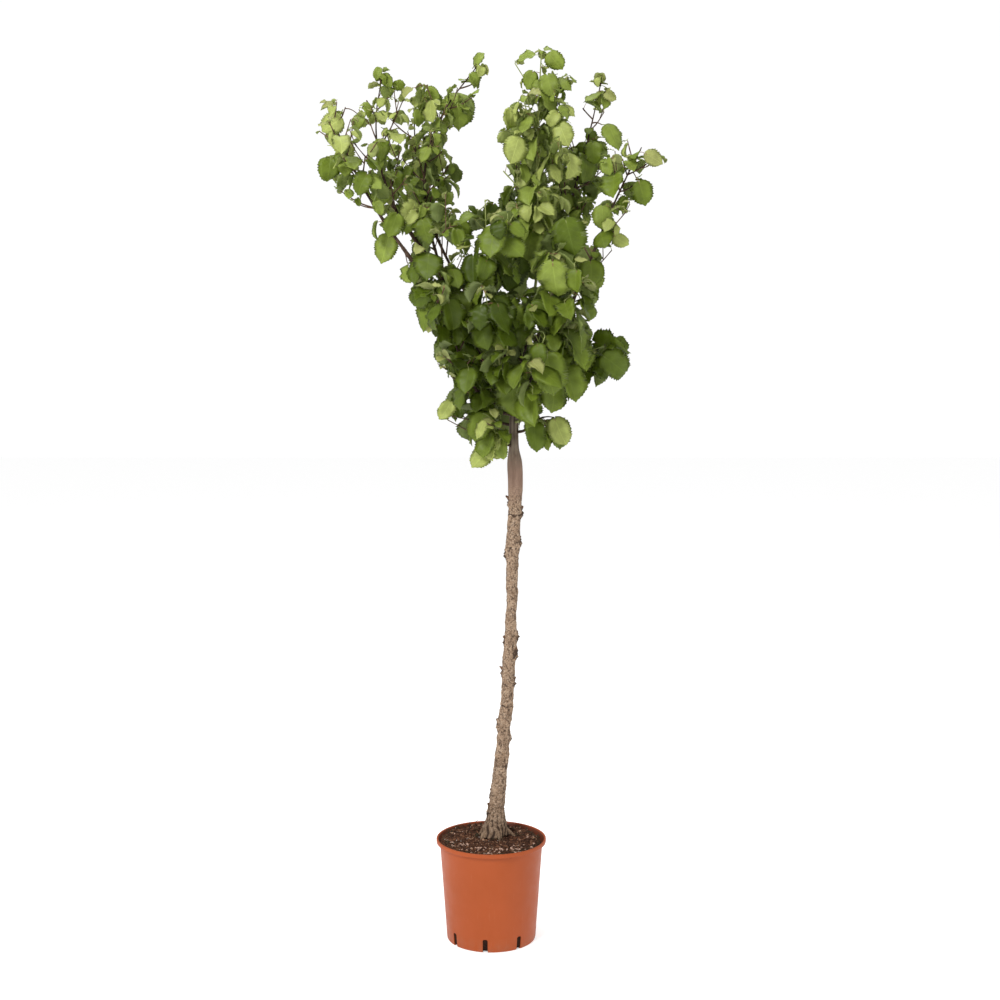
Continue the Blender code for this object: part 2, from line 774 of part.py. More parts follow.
def make_mass(name, twigs, leaves, collection):
    """One solid from a mass's stem, with its twigs and leaves fused on."""
    stem = tube(name, twigs[0], 3, collection)
    fused = make_collection(f"{name}_fused")
    for twig in twigs[1:]:
        tube(f"{name}_twig", twig, 3, fused)
    for leaf in leaves:
        link_mesh(leaf.name, leaf, fused)
    boolean(stem, "UNION", fused, solver="MANIFOLD")
    remove_collection(fused)
    keep_largest_body(stem.data)
    return stem


# ---------------------------------------------------------------- the whole plant


def main():
    clear_scene()
    plant = make_collection("apricot_tree")
    cutters = make_collection("cutters")
    materials = {name: make_material(name) for name in COLOURS}
    make_pot(plant, cutters).data.materials.append(materials["pot_plastic"])
    make_soil(plant).data.materials.append(materials["soil"])
    limbs = [make_trunk(plant, cutters)] + make_boughs(plant, cutters)
    for limb in limbs:
        limb.data.materials.append(materials["bark"])
        shade_round(limb)
    twigs, leaves = grow_masses(Room(limbs))
    for name in MASSES:
        make_mass(name, twigs[name], leaves[name], plant).data.materials.append(materials["leaf"])


if __name__ == "__main__":
    main()
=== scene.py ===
"""The looks of a young half-standard apricot tree in a round nursery pot.

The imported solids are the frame, and every piece rides on their one body. The crown grows
again by the source's rule, from the same named sizes and seeds, and then goes on to finer
shoots and smaller leaves inside the same spaces. All sizes are in metres, with +Z up and
the tree's front at -Y.
"""

import json
import math
import random
from typing import NamedTuple

import bmesh
import bpy
import numpy as np
from mathutils import Matrix, Vector, noise
from mathutils.bvhtree import BVHTree

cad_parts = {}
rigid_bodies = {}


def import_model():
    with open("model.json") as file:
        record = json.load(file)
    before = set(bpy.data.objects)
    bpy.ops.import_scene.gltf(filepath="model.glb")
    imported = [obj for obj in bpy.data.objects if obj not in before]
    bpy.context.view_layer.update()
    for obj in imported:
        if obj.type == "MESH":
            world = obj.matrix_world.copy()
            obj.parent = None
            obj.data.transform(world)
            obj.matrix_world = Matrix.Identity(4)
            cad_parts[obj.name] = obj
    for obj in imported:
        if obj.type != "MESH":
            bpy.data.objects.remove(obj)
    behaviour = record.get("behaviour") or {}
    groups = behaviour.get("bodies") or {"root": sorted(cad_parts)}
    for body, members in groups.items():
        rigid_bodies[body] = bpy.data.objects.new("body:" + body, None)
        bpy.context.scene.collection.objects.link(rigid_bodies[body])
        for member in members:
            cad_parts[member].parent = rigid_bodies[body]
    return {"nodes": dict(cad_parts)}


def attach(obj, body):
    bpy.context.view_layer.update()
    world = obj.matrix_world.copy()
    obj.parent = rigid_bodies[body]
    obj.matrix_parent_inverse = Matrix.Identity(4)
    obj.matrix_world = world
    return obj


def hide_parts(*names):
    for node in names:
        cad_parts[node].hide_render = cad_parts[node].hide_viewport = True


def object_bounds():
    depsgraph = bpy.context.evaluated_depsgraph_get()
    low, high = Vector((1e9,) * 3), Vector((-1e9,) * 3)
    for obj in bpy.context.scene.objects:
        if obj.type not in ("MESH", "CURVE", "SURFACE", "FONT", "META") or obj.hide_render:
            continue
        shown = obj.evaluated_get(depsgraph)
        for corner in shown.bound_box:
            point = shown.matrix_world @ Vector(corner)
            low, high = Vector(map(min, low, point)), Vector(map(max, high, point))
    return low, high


BODY = "root"
UP = Vector((0, 0, 1))
GAP = 0.0003

# ---------------------------------------------------------------- sizes shared with the source

# Pot and soil
POT_HEIGHT = 0.205
POT_LIP_RADIUS = 0.110
POT_LIP_HEIGHT = 0.008
POT_TOP_RADIUS = 0.1035
POT_FOOT_RADIUS = 0.089
POT_FOOT_ROUNDING = 0.003
POT_WALL = 0.0022
POT_FLOOR = 0.003
SLOT_COUNT = 8
SLOT_WIDTH = 0.010
SLOT_HEIGHT = 0.027
SLOT_DEPTH = 0.016
SLOT_TURN = math.radians(-97.4)
SOIL_EDGE = 0.192
SOIL_TOP = 0.205
SOIL_FLAT_RADIUS = 0.070

# Trunk: (height above the soil, x, y, radius), from the cut on the soil to the head
GROUND = SOIL_TOP + GAP
TRUNK = (
    (0.000, 0.0065, 0.0200, 0.0245),
    (0.014, 0.0075, 0.0200, 0.0218),
    (0.033, 0.0092, 0.0200, 0.0192),
    (0.056, 0.0112, 0.0200, 0.0166),
    (0.090, 0.0146, 0.0185, 0.0149),
    (0.145, 0.0204, 0.0170, 0.0138),
    (0.210, 0.0256, 0.0150, 0.0131),
    (0.305, 0.0332, 0.0120, 0.0125),
    (0.375, 0.0368, 0.0105, 0.0121),
    (0.440, 0.0396, 0.0095, 0.0104),
    (0.510, 0.0418, 0.0090, 0.0109),
    (0.600, 0.0434, 0.0085, 0.0130),
    (0.663, 0.0466, 0.0080, 0.0122),
    (0.715, 0.0478, 0.0080, 0.0148),
    (0.755, 0.0466, 0.0080, 0.0146),
    (0.785, 0.0448, 0.0080, 0.0098),
    (0.840, 0.0452, 0.0080, 0.0092),
    (0.885, 0.0482, 0.0080, 0.0113),
    (0.925, 0.0506, 0.0080, 0.0130),
    (0.955, 0.0520, 0.0070, 0.0115),
)
TRUNK_TOP = TRUNK[-1][0]
ROOT_COUNT = 7
ROOT_REACH = 0.040
ROOT_RISE = 0.034
ROOT_RADIUS = 0.0075

# Stubs of pruned shoots up the trunk: (height on the trunk, azimuth in degrees, length, radius)
KNOTS = (
    (0.048, 200, 0.010, 0.0045),
    (0.078, 165, 0.008, 0.0042),
    (0.196, 15, 0.007, 0.0040),
    (0.224, 185, 0.011, 0.0052),
    (0.311, 350, 0.010, 0.0050),
    (0.330, 175, 0.014, 0.0038),
    (0.370, 330, 0.012, 0.0072),
    (0.395, 190, 0.009, 0.0048),
    (0.404, 10, 0.011, 0.0058),
    (0.470, 95, 0.008, 0.0045),
    (0.530, 60, 0.009, 0.0050),
    (0.594, 352, 0.010, 0.0048),
    (0.568, 185, 0.011, 0.0060),
    (0.652, 10, 0.013, 0.0060),
    (0.672, 172, 0.014, 0.0042),
)

# Boughs: height where it leaves the trunk's axis, tip, bend of its middle, foot and tip radius
BOUGHS = {
    "bough_left": (0.900, (-0.155, -0.010, 1.405), (0.004, -0.004, -0.006), 0.0075, 0.0050),
    "bough_left_outer": (0.862, (-0.166, -0.078, 1.372), (0.010, -0.014, -0.010), 0.0064, 0.0046),
    "bough_left_inner": (0.928, (-0.062, 0.035, 1.315), (-0.004, 0.008, 0.0), 0.0060, 0.0046),
    "bough_left_back": (0.868, (-0.075, 0.105, 1.300), (0.004, 0.014, -0.004), 0.0056, 0.0044),
    "bough_leader": (0.945, (0.078, -0.025, 1.255), (0.004, -0.004, 0.0), 0.0080, 0.0052),
    "bough_back": (0.905, (0.040, 0.120, 1.320), (0.0, 0.014, -0.006), 0.0056, 0.0044),
    "bough_right": (0.912, (0.125, 0.030, 1.340), (0.012, 0.006, -0.006), 0.0064, 0.0046),
    "bough_right_outer": (0.882, (0.160, -0.050, 1.280), (0.006, -0.008, -0.006), 0.0060, 0.0044),
}
BOUGH_STATIONS = 5


class Mass(NamedTuple):
    """A mass of foliage on its stem."""

    carrier: str | float  # the bough that carries it, or the height on the trunk
    tip: tuple  # of its stem
    bend: tuple  # of its stem's middle
    radii: tuple  # of its space, at the foot, the middle and the tip
    seed: int
    longest: float  # its longest leaf
    tints: tuple  # of its older sprays, and of the younger ones at its tips; darker for a mass in shade and lighter for one in the light, as painted shade and light


MASSES = {
    "foliage_left": Mass(
        "bough_left", (-0.212, 0.005, 1.685), (-0.022, 0.0, 0.0),
        (0.100, 0.105, 0.075), 1, 0.062, ("fresh", "bright"),
    ),
    "foliage_left_outer": Mass(
        "bough_left_outer", (-0.303, -0.075, 1.640), (-0.012, 0.0, 0.0),
        (0.085, 0.090, 0.070), 29, 0.062, ("fresh", "bright"),
    ),
    "foliage_left_inner": Mass(
        "bough_left_inner", (-0.028, 0.020, 1.722), (-0.066, 0.0, 0.0),
        (0.080, 0.095, 0.055), 3, 0.066, ("fresh", "bright"),
    ),
    "foliage_left_back": Mass(
        "bough_left_back", (-0.155, 0.130, 1.660), (-0.014, 0.020, 0.0),
        (0.090, 0.105, 0.060), 4, 0.068, ("green", "bright"),
    ),
    "foliage_left_front": Mass(
        0.846, (-0.090, -0.120, 1.395), (-0.026, -0.014, -0.020),
        (0.080, 0.100, 0.085), 6, 0.084, ("dark", "green"),
    ),
    "foliage_top": Mass(
        "bough_leader", (0.096, -0.035, 1.742), (-0.004, 0.0, 0.0),
        (0.090, 0.105, 0.062), 16, 0.084, ("bright", "bright"),
    ),
    "foliage_back": Mass(
        "bough_back", (0.085, 0.150, 1.600), (0.0, 0.016, 0.0),
        (0.090, 0.105, 0.070), 7, 0.080, ("deep", "green"),
    ),
    "foliage_right": Mass(
        "bough_right", (0.212, 0.030, 1.690), (0.004, 0.0, 0.0),
        (0.085, 0.090, 0.055), 8, 0.078, ("fresh", "fresh"),
    ),
    "foliage_right_outer": Mass(
        "bough_right_outer", (0.286, -0.045, 1.562), (0.0, 0.0, 0.010),
        (0.065, 0.082, 0.070), 9, 0.070, ("fresh", "fresh"),
    ),
    "foliage_front": Mass(
        0.908, (-0.010, -0.140, 1.455), (-0.006, -0.030, -0.030),
        (0.085, 0.110, 0.085), 10, 0.092, ("dark", "dark"),
    ),
    "foliage_right_back": Mass(
        0.878, (0.170, 0.135, 1.400), (0.006, 0.010, -0.010),
        (0.080, 0.105, 0.085), 11, 0.082, ("dark", "green"),
    ),
    "foliage_low_left": Mass(
        0.826, (-0.072, 0.015, 1.225), (-0.012, 0.0, -0.020),
        (0.080, 0.092, 0.085), 20, 0.082, ("dark", "dark"),
    ),
    "foliage_low_right": Mass(
        0.858, (0.252, -0.015, 1.228), (0.0, 0.0, -0.006),
        (0.080, 0.090, 0.090), 14, 0.100, ("dark", "green"),
    ),
    "foliage_low_front": Mass(
        0.832, (0.110, -0.125, 1.335), (0.016, -0.024, -0.022),
        (0.095, 0.110, 0.090), 15, 0.092, ("green", "green"),
    ),
    "foliage_low_back": Mass(
        0.850, (0.020, 0.150, 1.230), (0.0, 0.015, -0.010),
        (0.085, 0.110, 0.095), 15, 0.084, ("deep", "dark"),
    ),
    "foliage_lowest_left": Mass(
        0.786, (-0.018, -0.040, 1.030), (0.0, 0.0, 0.004),
        (0.100, 0.105, 0.095), 24, 0.078, ("fresh", "bright"),
    ),
    "foliage_lowest_right": Mass(
        0.812, (0.122, -0.036, 1.050), (0.0, 0.0, 0.010),
        (0.100, 0.105, 0.095), 22, 0.078, ("fresh", "bright"),
    ),
}
STEM_STATIONS = 6
STEM_RADIUS = 0.0042
STEM_TIP_RADIUS = 0.0021
STEM_LEAD = 0.15  # how far a stem runs straight on from its bough, of its reach
LIMB_CLEARANCE = 0.003

# Side twigs of a mass
TWIG_SPACING = 0.048
TWIG_TURN = math.radians(137.5)
TWIG_LEAN = math.radians(48)
TWIG_LEANS = (0.85, 1.35)  # the range of its lean, of that
TWIG_RISE = 0.28
TWIG_RADIUS = 0.0025
TWIG_TIP_RADIUS = 0.0019
TWIG_STATIONS = 3
TWIG_REACH = (0.60, 0.95)  # of the radius of its space
TWIG_FEET = (0.10, 0.88)  # where the twigs leave the stem, as shares of it
TWIG_RETRY = 0.86  # how far a twig that doesn't fit is cut back, of its reach
SHORTEST_TWIG = 0.028

# Leaves
LEAF_SPACING = 0.028
LEAF_TURN = math.radians(144)
LEAF_LEAN = math.radians(62)
LEAF_LEANS = (0.8, 1.15)  # the range of its lean, of that
LEAF_HANG, YOUNG_HANG = (25, 78), (-30, 35)  # how far the blade hangs, in degrees
LEAF_TRIES = 9
LEAF_RETRY_TURN = 1.3
LEAF_RETRY_SIZE = 0.965
LEAF_SPREAD = (0.80, 1.04)  # the range of its length
LEAF_WIDTH = 0.90  # of its length
LEAF_STALK = 0.36  # of its length
LEAF_STALKS = (0.8, 1.2)  # the range of its stalk, of that
LEAF_ROLL = 40  # to either side, in degrees
LEAF_THICKNESS = 0.016  # of its length
TIP_LEAF = 0.45  # the length of a leaf at a twig's tip, of the longest
STEM_BARE = 0.14  # the share of a stem below its first leaf
TWIG_BARE = 0.22
TIP_SHARE = 0.995  # how far along its twig the last leaf may grow
YOUNG_SHARE = 0.9  # beyond this the leaves are young, and don't hang yet
STALK_RADIUS = 0.0007
BLADE_SECTIONS = ((0.28, 0.94), (0.70, 0.78))
BLADE_ARCH = 0.14  # how far the tip bends down, of its length

# ---------------------------------------------------------------- sizes of what is drawn finer

# The drawn pot, whose inside flares out into a lip that is sharper than the solid's
POT_LIP_ROUNDING = 0.0012
POT_LIP_FILLET = 0.001  # where the lip meets the wall
POT_FLARE_FOOT = 0.193
POT_FLARE_RADIUS = 0.1064
POT_BASE_RING = (0.012, 0.014)  # how far in the ring that it stands on ends, below and above
POT_BASE_RISE = 0.0012  # of the underside inside that ring
POT_SIDES = 144
POT_CREASE = math.radians(40)
SLOT_ROUNDING = 0.0016

# The drawn compost
SOIL_DRAWN_EDGE = 0.1985  # with the crumbs that lie on the solid's top
SOIL_DRAWN_RADIUS = 0.1030
SOIL_TILT = 0.022  # up to the left
SOIL_DISH = 0.0015  # up to the back and the front, at the edge
SOIL_LUMPS = ((40, 0.0042), (120, 0.0032), (380, 0.0018))  # fineness and height
SOIL_RINGS, SOIL_SIDES = 70, 220
SOIL_BODY_HEIGHTS = (POT_FLARE_FOOT - 0.001, 0.040, POT_FLOOR + GAP)

# The finer growth
SPUR_SPACING = 0.040  # between the short shoots along a stem or a twig
SPUR_LEANS = (0.8, 1.3)
SPUR_REACH = (0.022, 0.055)
SPUR_RADIUS = 0.0011
SPUR_TIP_RADIUS = 0.0008
SPUR_LEAF = 0.66  # the longest leaf of a spur, of its mass's longest
SPUR_FEET = (0.12, 0.92)  # where the spurs leave a twig, as shares of it
SPUR_BARE = 0.45
SPUR_LEAF_SPACING = LEAF_SPACING * 0.7
FILL_LEAVES = (0.74, 0.62, 0.52, 0.42)  # the longest of the later leaves on older twigs, in turn
FILL_INSIDE = 0.97  # how much of a later leaf is inside the crown's edge
FILL_SPIN = 0.6  # of a later leaf in its own plane, to either side
KEY_STALK = 0.6  # the longest stalk of a key leaf, of its length
KEY_SHIFTS = (0.0, -0.012, 0.012, -0.024, 0.024, -0.040, 0.040, -0.060)  # moved back so far, till it has room
KEY_PITCH = (-0.5, 0.1)  # how far its tip points back, or forward below 0
KEY_SHOOT_END = 0.3  # how near a shoot of its own comes to its blade, of its length
KEY_SHOOT_RISE = 0.18

# The drawn wood
STEM_DRAWN_RADII = (0.0031, 0.0009)  # slimmer than the solids', which have three sides
TWIG_DRAWN_RADII = (0.0016, 0.0008)
STALK_DRAWN_RADIUS = 0.0008
STALK_TAPER = (1.3, 1.0, 0.9, 0.85, 0.85, 0.75, 0.4)
BOUGH_DRAWN_SHARES = (0.90, 0.80)  # of the solid's radius, at the foot and the tip
BOUGH_STEPS, BOUGH_SIDES = 70, 14
BOUGH_NODES, BOUGH_NODE_SWELLING = 11, 0.12  # along a bough
BOUGH_FOOT_SWELLING = 0.35
LEAF_NODE_SWELLING = 0.25  # of a twig where a leaf grows
TWIG_STEPS = (44, 14, 14)  # for stems, twigs and spurs
TWIG_SIDES = (10, 8, 6)
WOOD_WOBBLE = 0.04
STEM_OVERLAP = 0.006  # how far a stem starts inside what carries it

# A drawn leaf: its half width along it, round at the base, with a short sharp tip
BLADE_OUTLINE = (
    (0.00, 0.10), (0.03, 0.46), (0.09, 0.73), (0.19, 0.92), (0.33, 1.00), (0.48, 0.96),
    (0.62, 0.88), (0.74, 0.73), (0.83, 0.51), (0.89, 0.30), (0.94, 0.13), (1.00, 0.01),
)
TOOTH_LENGTH = 0.0042
TOOTH_DEPTH = 0.050  # of the half width
FEWEST_TEETH, MOST_TEETH = 8, 14
BLADE_COLUMNS = (-1.0, -0.55, 0.0, 0.55, 1.0)
BLADE_THICKNESS = 0.00045
BLADE_LOBE = 0.10  # how far the base's lobes reach back past the stalk, of the length
BLADE_WIDTH = 0.92  # of its length
BLADE_WIDTH_SPREAD = (0.92, 1.08)
BLADE_BEND = (-0.1, 1.3)
BLADE_FOLD = (-8, 34)  # on its midrib, in degrees
BLADE_WAVES = (1.3, 3.0)  # along its edge
BLADE_WAVE_DEPTHS = (0.02, 0.085)  # of its length
BLADE_TWIST = 0.7
BLADE_SWEEP = 0.12  # of its tip to a side, of its length
TOOTH_SPREAD = (0.2, 2.0)
LOBE_END = 0.22  # how far up the blade the lobes reach
VEIN_PAIRS = 6
VEIN_START = 0.3
PLEAT_LEAN = 0.34
PLEAT_DEPTH = 0.0045  # of its length
BLADE_TRIES = 7
BLADE_RETRY_SIZE = 0.93
MOST_DRAWN = 4000  # twigs and leaves that there is room to note

# Leaves are drawn smaller towards the top: heights, and the shares of their length
HEIGHTS, HEIGHT_SHARES = (1.25, 1.60), (1.0, 0.74)

# The crown's edge as it stands from the front, in x and z
CROWN_EDGE = (
    (-0.335, 1.640), (-0.320, 1.665), (-0.290, 1.665), (-0.280, 1.635), (-0.240, 1.660),
    (-0.230, 1.720), (-0.200, 1.725), (-0.180, 1.695), (-0.085, 1.680), (-0.050, 1.705),
    (-0.035, 1.760), (-0.020, 1.760), (0.000, 1.715), (-0.030, 1.660), (-0.045, 1.595),
    (-0.088, 1.600), (-0.062, 1.515), (-0.058, 1.470), (0.005, 1.448), (0.042, 1.500),
    (0.010, 1.575), (0.020, 1.635), (0.055, 1.660), (0.045, 1.735), (0.090, 1.775),
    (0.140, 1.745), (0.165, 1.690), (0.152, 1.580), (0.182, 1.580), (0.170, 1.690),
    (0.210, 1.715), (0.245, 1.670), (0.200, 1.610), (0.235, 1.620), (0.280, 1.565),
    (0.335, 1.560), (0.335, 1.530), (0.295, 1.530), (0.315, 1.460), (0.238, 1.435),
    (0.262, 1.390), (0.230, 1.390), (0.225, 1.325), (0.195, 1.250), (0.200, 1.210),
    (0.172, 1.180), (0.262, 1.210), (0.280, 1.170), (0.268, 1.122), (0.205, 1.122),
    (0.150, 1.080), (0.085, 1.055), (0.145, 1.045), (0.165, 0.985), (0.000, 0.960),
    (-0.035, 0.940), (-0.048, 1.040), (-0.105, 1.045), (-0.072, 1.112), (-0.112, 1.155),
    (-0.110, 1.210), (-0.155, 1.210), (-0.150, 1.295), (-0.172, 1.295), (-0.165, 1.362),
    (-0.185, 1.345), (-0.235, 1.348), (-0.235, 1.405), (-0.215, 1.430), (-0.325, 1.500),
    (-0.340, 1.530), (-0.310, 1.580), (-0.345, 1.585),
)
# Gaps in it where the sky shows: (x, z, radius)
CROWN_GAPS = (
    (-0.272, 1.636, 0.012), (-0.228, 1.594, 0.016), (-0.285, 1.588, 0.008), (-0.318, 1.552, 0.016),
    (-0.240, 1.660, 0.014), (-0.171, 1.603, 0.009), (-0.252, 1.546, 0.010), (-0.095, 1.371, 0.024),
    (-0.150, 1.357, 0.010), (-0.125, 1.262, 0.009), (-0.142, 1.256, 0.009), (0.081, 1.716, 0.014),
    (0.184, 1.624, 0.018), (0.216, 1.600, 0.012), (0.250, 1.485, 0.013), (0.188, 1.393, 0.022),
    (0.160, 1.665, 0.012), (-0.062, 1.585, 0.014), (-0.190, 1.640, 0.008), (0.268, 1.512, 0.010),
    (0.205, 1.440, 0.008), (-0.120, 1.510, 0.007),
)
EDGE_SHARE = 0.75  # how much of an older leaf is inside the edge, at least

# Leaves that stand out: where the middle of the blade is seen from the front, in x and z; its
# place in y; the way it points, in degrees from straight down towards +X; its roll; its length
KEY_LEAVES = (
    (-0.309, 1.608, -0.070, -54, 0, 0.048), (-0.315, 1.643, -0.070, -70, 40, 0.026),
    (-0.282, 1.556, -0.085, 5, 10, 0.042), (-0.312, 1.525, -0.085, -5, 0, 0.045),
    (-0.205, 1.373, -0.050, -15, 5, 0.056), (-0.165, 1.326, -0.040, -15, 65, 0.036),
    (-0.130, 1.250, -0.060, -40, 50, 0.068), (-0.136, 1.284, -0.080, -25, 20, 0.062),
    (-0.217, 1.706, 0.000, -30, 20, 0.024), (-0.197, 1.693, 0.005, 40, 20, 0.028),
    (-0.174, 1.683, 0.020, 80, 40, 0.026), (-0.130, 1.655, 0.060, -20, 20, 0.036),
    (-0.112, 1.668, 0.030, 50, 30, 0.030), (-0.061, 1.637, 0.020, 5, 15, 0.070),
    (-0.027, 1.737, 0.020, 170, 60, 0.032), (-0.009, 1.712, 0.020, 20, 30, 0.021),
    (-0.030, 1.693, 0.015, 30, 20, 0.031), (0.067, 1.737, -0.040, -75, 50, 0.033),
    (0.125, 1.727, -0.040, 40, 10, 0.040), (0.144, 1.689, -0.045, 65, 50, 0.035),
    (0.038, 1.617, -0.050, 5, 10, 0.044), (0.212, 1.660, 0.020, -20, 10, 0.031),
    (0.229, 1.664, 0.010, 40, 20, 0.026), (0.213, 1.698, 0.020, 0, 30, 0.018),
    (0.238, 1.587, 0.000, 25, 30, 0.054), (0.315, 1.546, -0.050, 60, 15, 0.038),
    (0.294, 1.479, -0.060, 20, 10, 0.046), (0.257, 1.458, -0.060, -10, 30, 0.031),
    (0.252, 1.388, -0.060, 50, 20, 0.032), (-0.007, 1.440, -0.090, -30, 20, 0.044),
    (0.154, 1.394, -0.170, 15, 15, 0.068), (0.123, 1.309, -0.185, 5, 0, 0.072),
    (0.041, 1.327, -0.110, -5, 20, 0.068), (0.114, 1.130, -0.150, 5, 0, 0.080),
    (0.156, 1.111, -0.120, 15, 15, 0.068), (0.238, 1.187, -0.060, 78, 35, 0.074),
    (0.246, 1.149, -0.060, 55, 10, 0.064), (0.179, 1.153, -0.060, -20, 30, 0.054),
    (-0.021, 0.966, -0.060, -35, 5, 0.047), (0.085, 1.008, -0.070, 0, 5, 0.055),
    (0.135, 1.018, -0.050, 20, 10, 0.056), (-0.021, 1.028, -0.080, -10, 0, 0.058),
    (-0.088, 1.060, -0.050, -25, 15, 0.040), (-0.190, 1.418, -0.090, -20, 20, 0.045),
    (-0.128, 1.405, -0.060, 10, 20, 0.050), (-0.156, 1.445, -0.050, -30, 30, 0.042),
    (-0.250, 1.500, -0.090, -30, 10, 0.045), (-0.100, 1.440, -0.060, 30, 30, 0.040),
    (-0.060, 1.400, -0.100, -15, 15, 0.050), (0.042, 1.081, -0.070, 5, 0, 0.072),
    (0.078, 1.070, -0.060, 15, 20, 0.058), (-0.066, 1.160, -0.060, -78, 10, 0.074),
    (-0.088, 1.190, -0.070, -10, 45, 0.054), (-0.058, 1.258, -0.120, 10, 10, 0.060),
    (0.040, 1.250, -0.140, 60, 20, 0.060), (0.060, 1.214, -0.110, -10, 10, 0.058),
    (0.098, 1.245, -0.150, 40, 15, 0.056), (-0.236, 1.638, -0.040, 0, 40, 0.030),
    (-0.257, 1.615, -0.050, -40, 20, 0.030), (-0.160, 1.668, 0.010, -30, 30, 0.030),
    (-0.135, 1.622, 0.030, 10, 20, 0.034), (0.046, 1.560, -0.070, -15, 10, 0.052),
    (0.149, 1.633, -0.050, 75, 30, 0.032), (0.140, 1.590, -0.070, 20, 20, 0.045),
    (0.074, 1.692, -0.040, -20, 20, 0.036), (0.113, 1.680, -0.050, 10, 10, 0.046),
    (0.214, 1.432, -0.050, -5, 10, 0.044),
)

# Trunk relief: heights, depths and widths, and tones from -1 in a hollow to 1, which paint shade into the
# hollows and light onto the ridges
TRUNK_RING_STEP = 0.0016
TRUNK_RING_SIDES = 112
TRUNK_DOME = ((0.90, 0.0040), (0.60, 0.0070), (0.25, 0.0085))  # share of its radius, rise
BARK_ROUND = 0.013  # the radius that the grain is laid round
# The grain's layers: (fineness, depth, tone)
BARK_GRAIN = ((38, 0.0020, 0.1), (110, 0.0016, 0.5), (260, 0.0010, 0.9), (480, 0.0004, 0.4))
GRAFT = 0.700  # above it the bark is smooth
SMOOTH_GRAIN = 0.0005
RING_CRACKS = (0.266, 0.651)
CRACK_WIDTH, CRACK_DEPTH, CRACK_TONE = 0.0011, 0.0013, 1.5
CRACK_SWELL_WIDTH, CRACK_SWELL = 0.006, 0.0006
FLARE_HEIGHT, FLARE_DEPTH, FLARE_WIDTH = 0.016, 0.0075, 0.30
RIDGES, RIDGE_HEIGHT, RIDGE_DEPTH, RIDGE_TONE = 15, 0.030, 0.0016, 1.5
HEAD_FOOT, HEAD_RISE = 0.775, 0.03  # above it the wood is in strands
STRANDS, STRAND_DEPTH, STRAND_TONE = 3.5, 0.0013, 0.9
KNOT_ABOVE, KNOT_BELOW, KNOT_ASIDE = 2.6, 1.5, 1.3  # a knot's swelling, in radii of its stub
KNOT_LUMPS = 230
ROOT_STEPS, ROOT_SIDES, ROOT_WOBBLE = 22, 14, 0.07
STUB_STEPS, STUB_SIDES, STUB_WOBBLE = 9, 12, 0.3
STUB_SHARE = 0.8  # the drawn radius, of the solid's
STUB_INSET, STUB_RISE = 0.002, 0.9  # how far in it starts, and how steeply it points up

# Seeds, to each of which the seed of a mass or the number of a leaf or a piece is added
LEAF_SEED, FINER_SEED, TINT_SEED, KEY_SEED, DRAWN_SEED = 100, 200, 300, 500, 600
STUB_SEED, CHIP_SEED, FIBRE_SEED, BOUGH_SEED = 20, 40, 60, 60

# Camera: the photograph's place and angle
CAMERA_PLACE = (0.0176, -3.0, 1.178)
CAMERA_PITCH = math.radians(-5.56)
CAMERA_LENS = 55.16
CAMERA_SENSOR = 36

# Studio: (name, place, size, power) of each light, and the place that they all face
LIGHTS = (
    ("key", (-1.9, -2.9, 3.3), 1.3, 125),
    ("fill", (2.8, -2.0, 2.0), 2.2, 16),
    ("top", (0.0, 0.5, 4.0), 2.0, 55),
)
LIGHTS_AIM = Vector((0, 0, 1.1))
FLOOR_HALF = 14.0
FLOOR_GLOW = 0.50
SKY_LIGHT, SKY_SEEN = 0.60, 1.02  # how bright the white world is, as a light and as seen


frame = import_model()
CAD_LOW, CAD_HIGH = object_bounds()


# ---------------------------------------------------------------- node materials


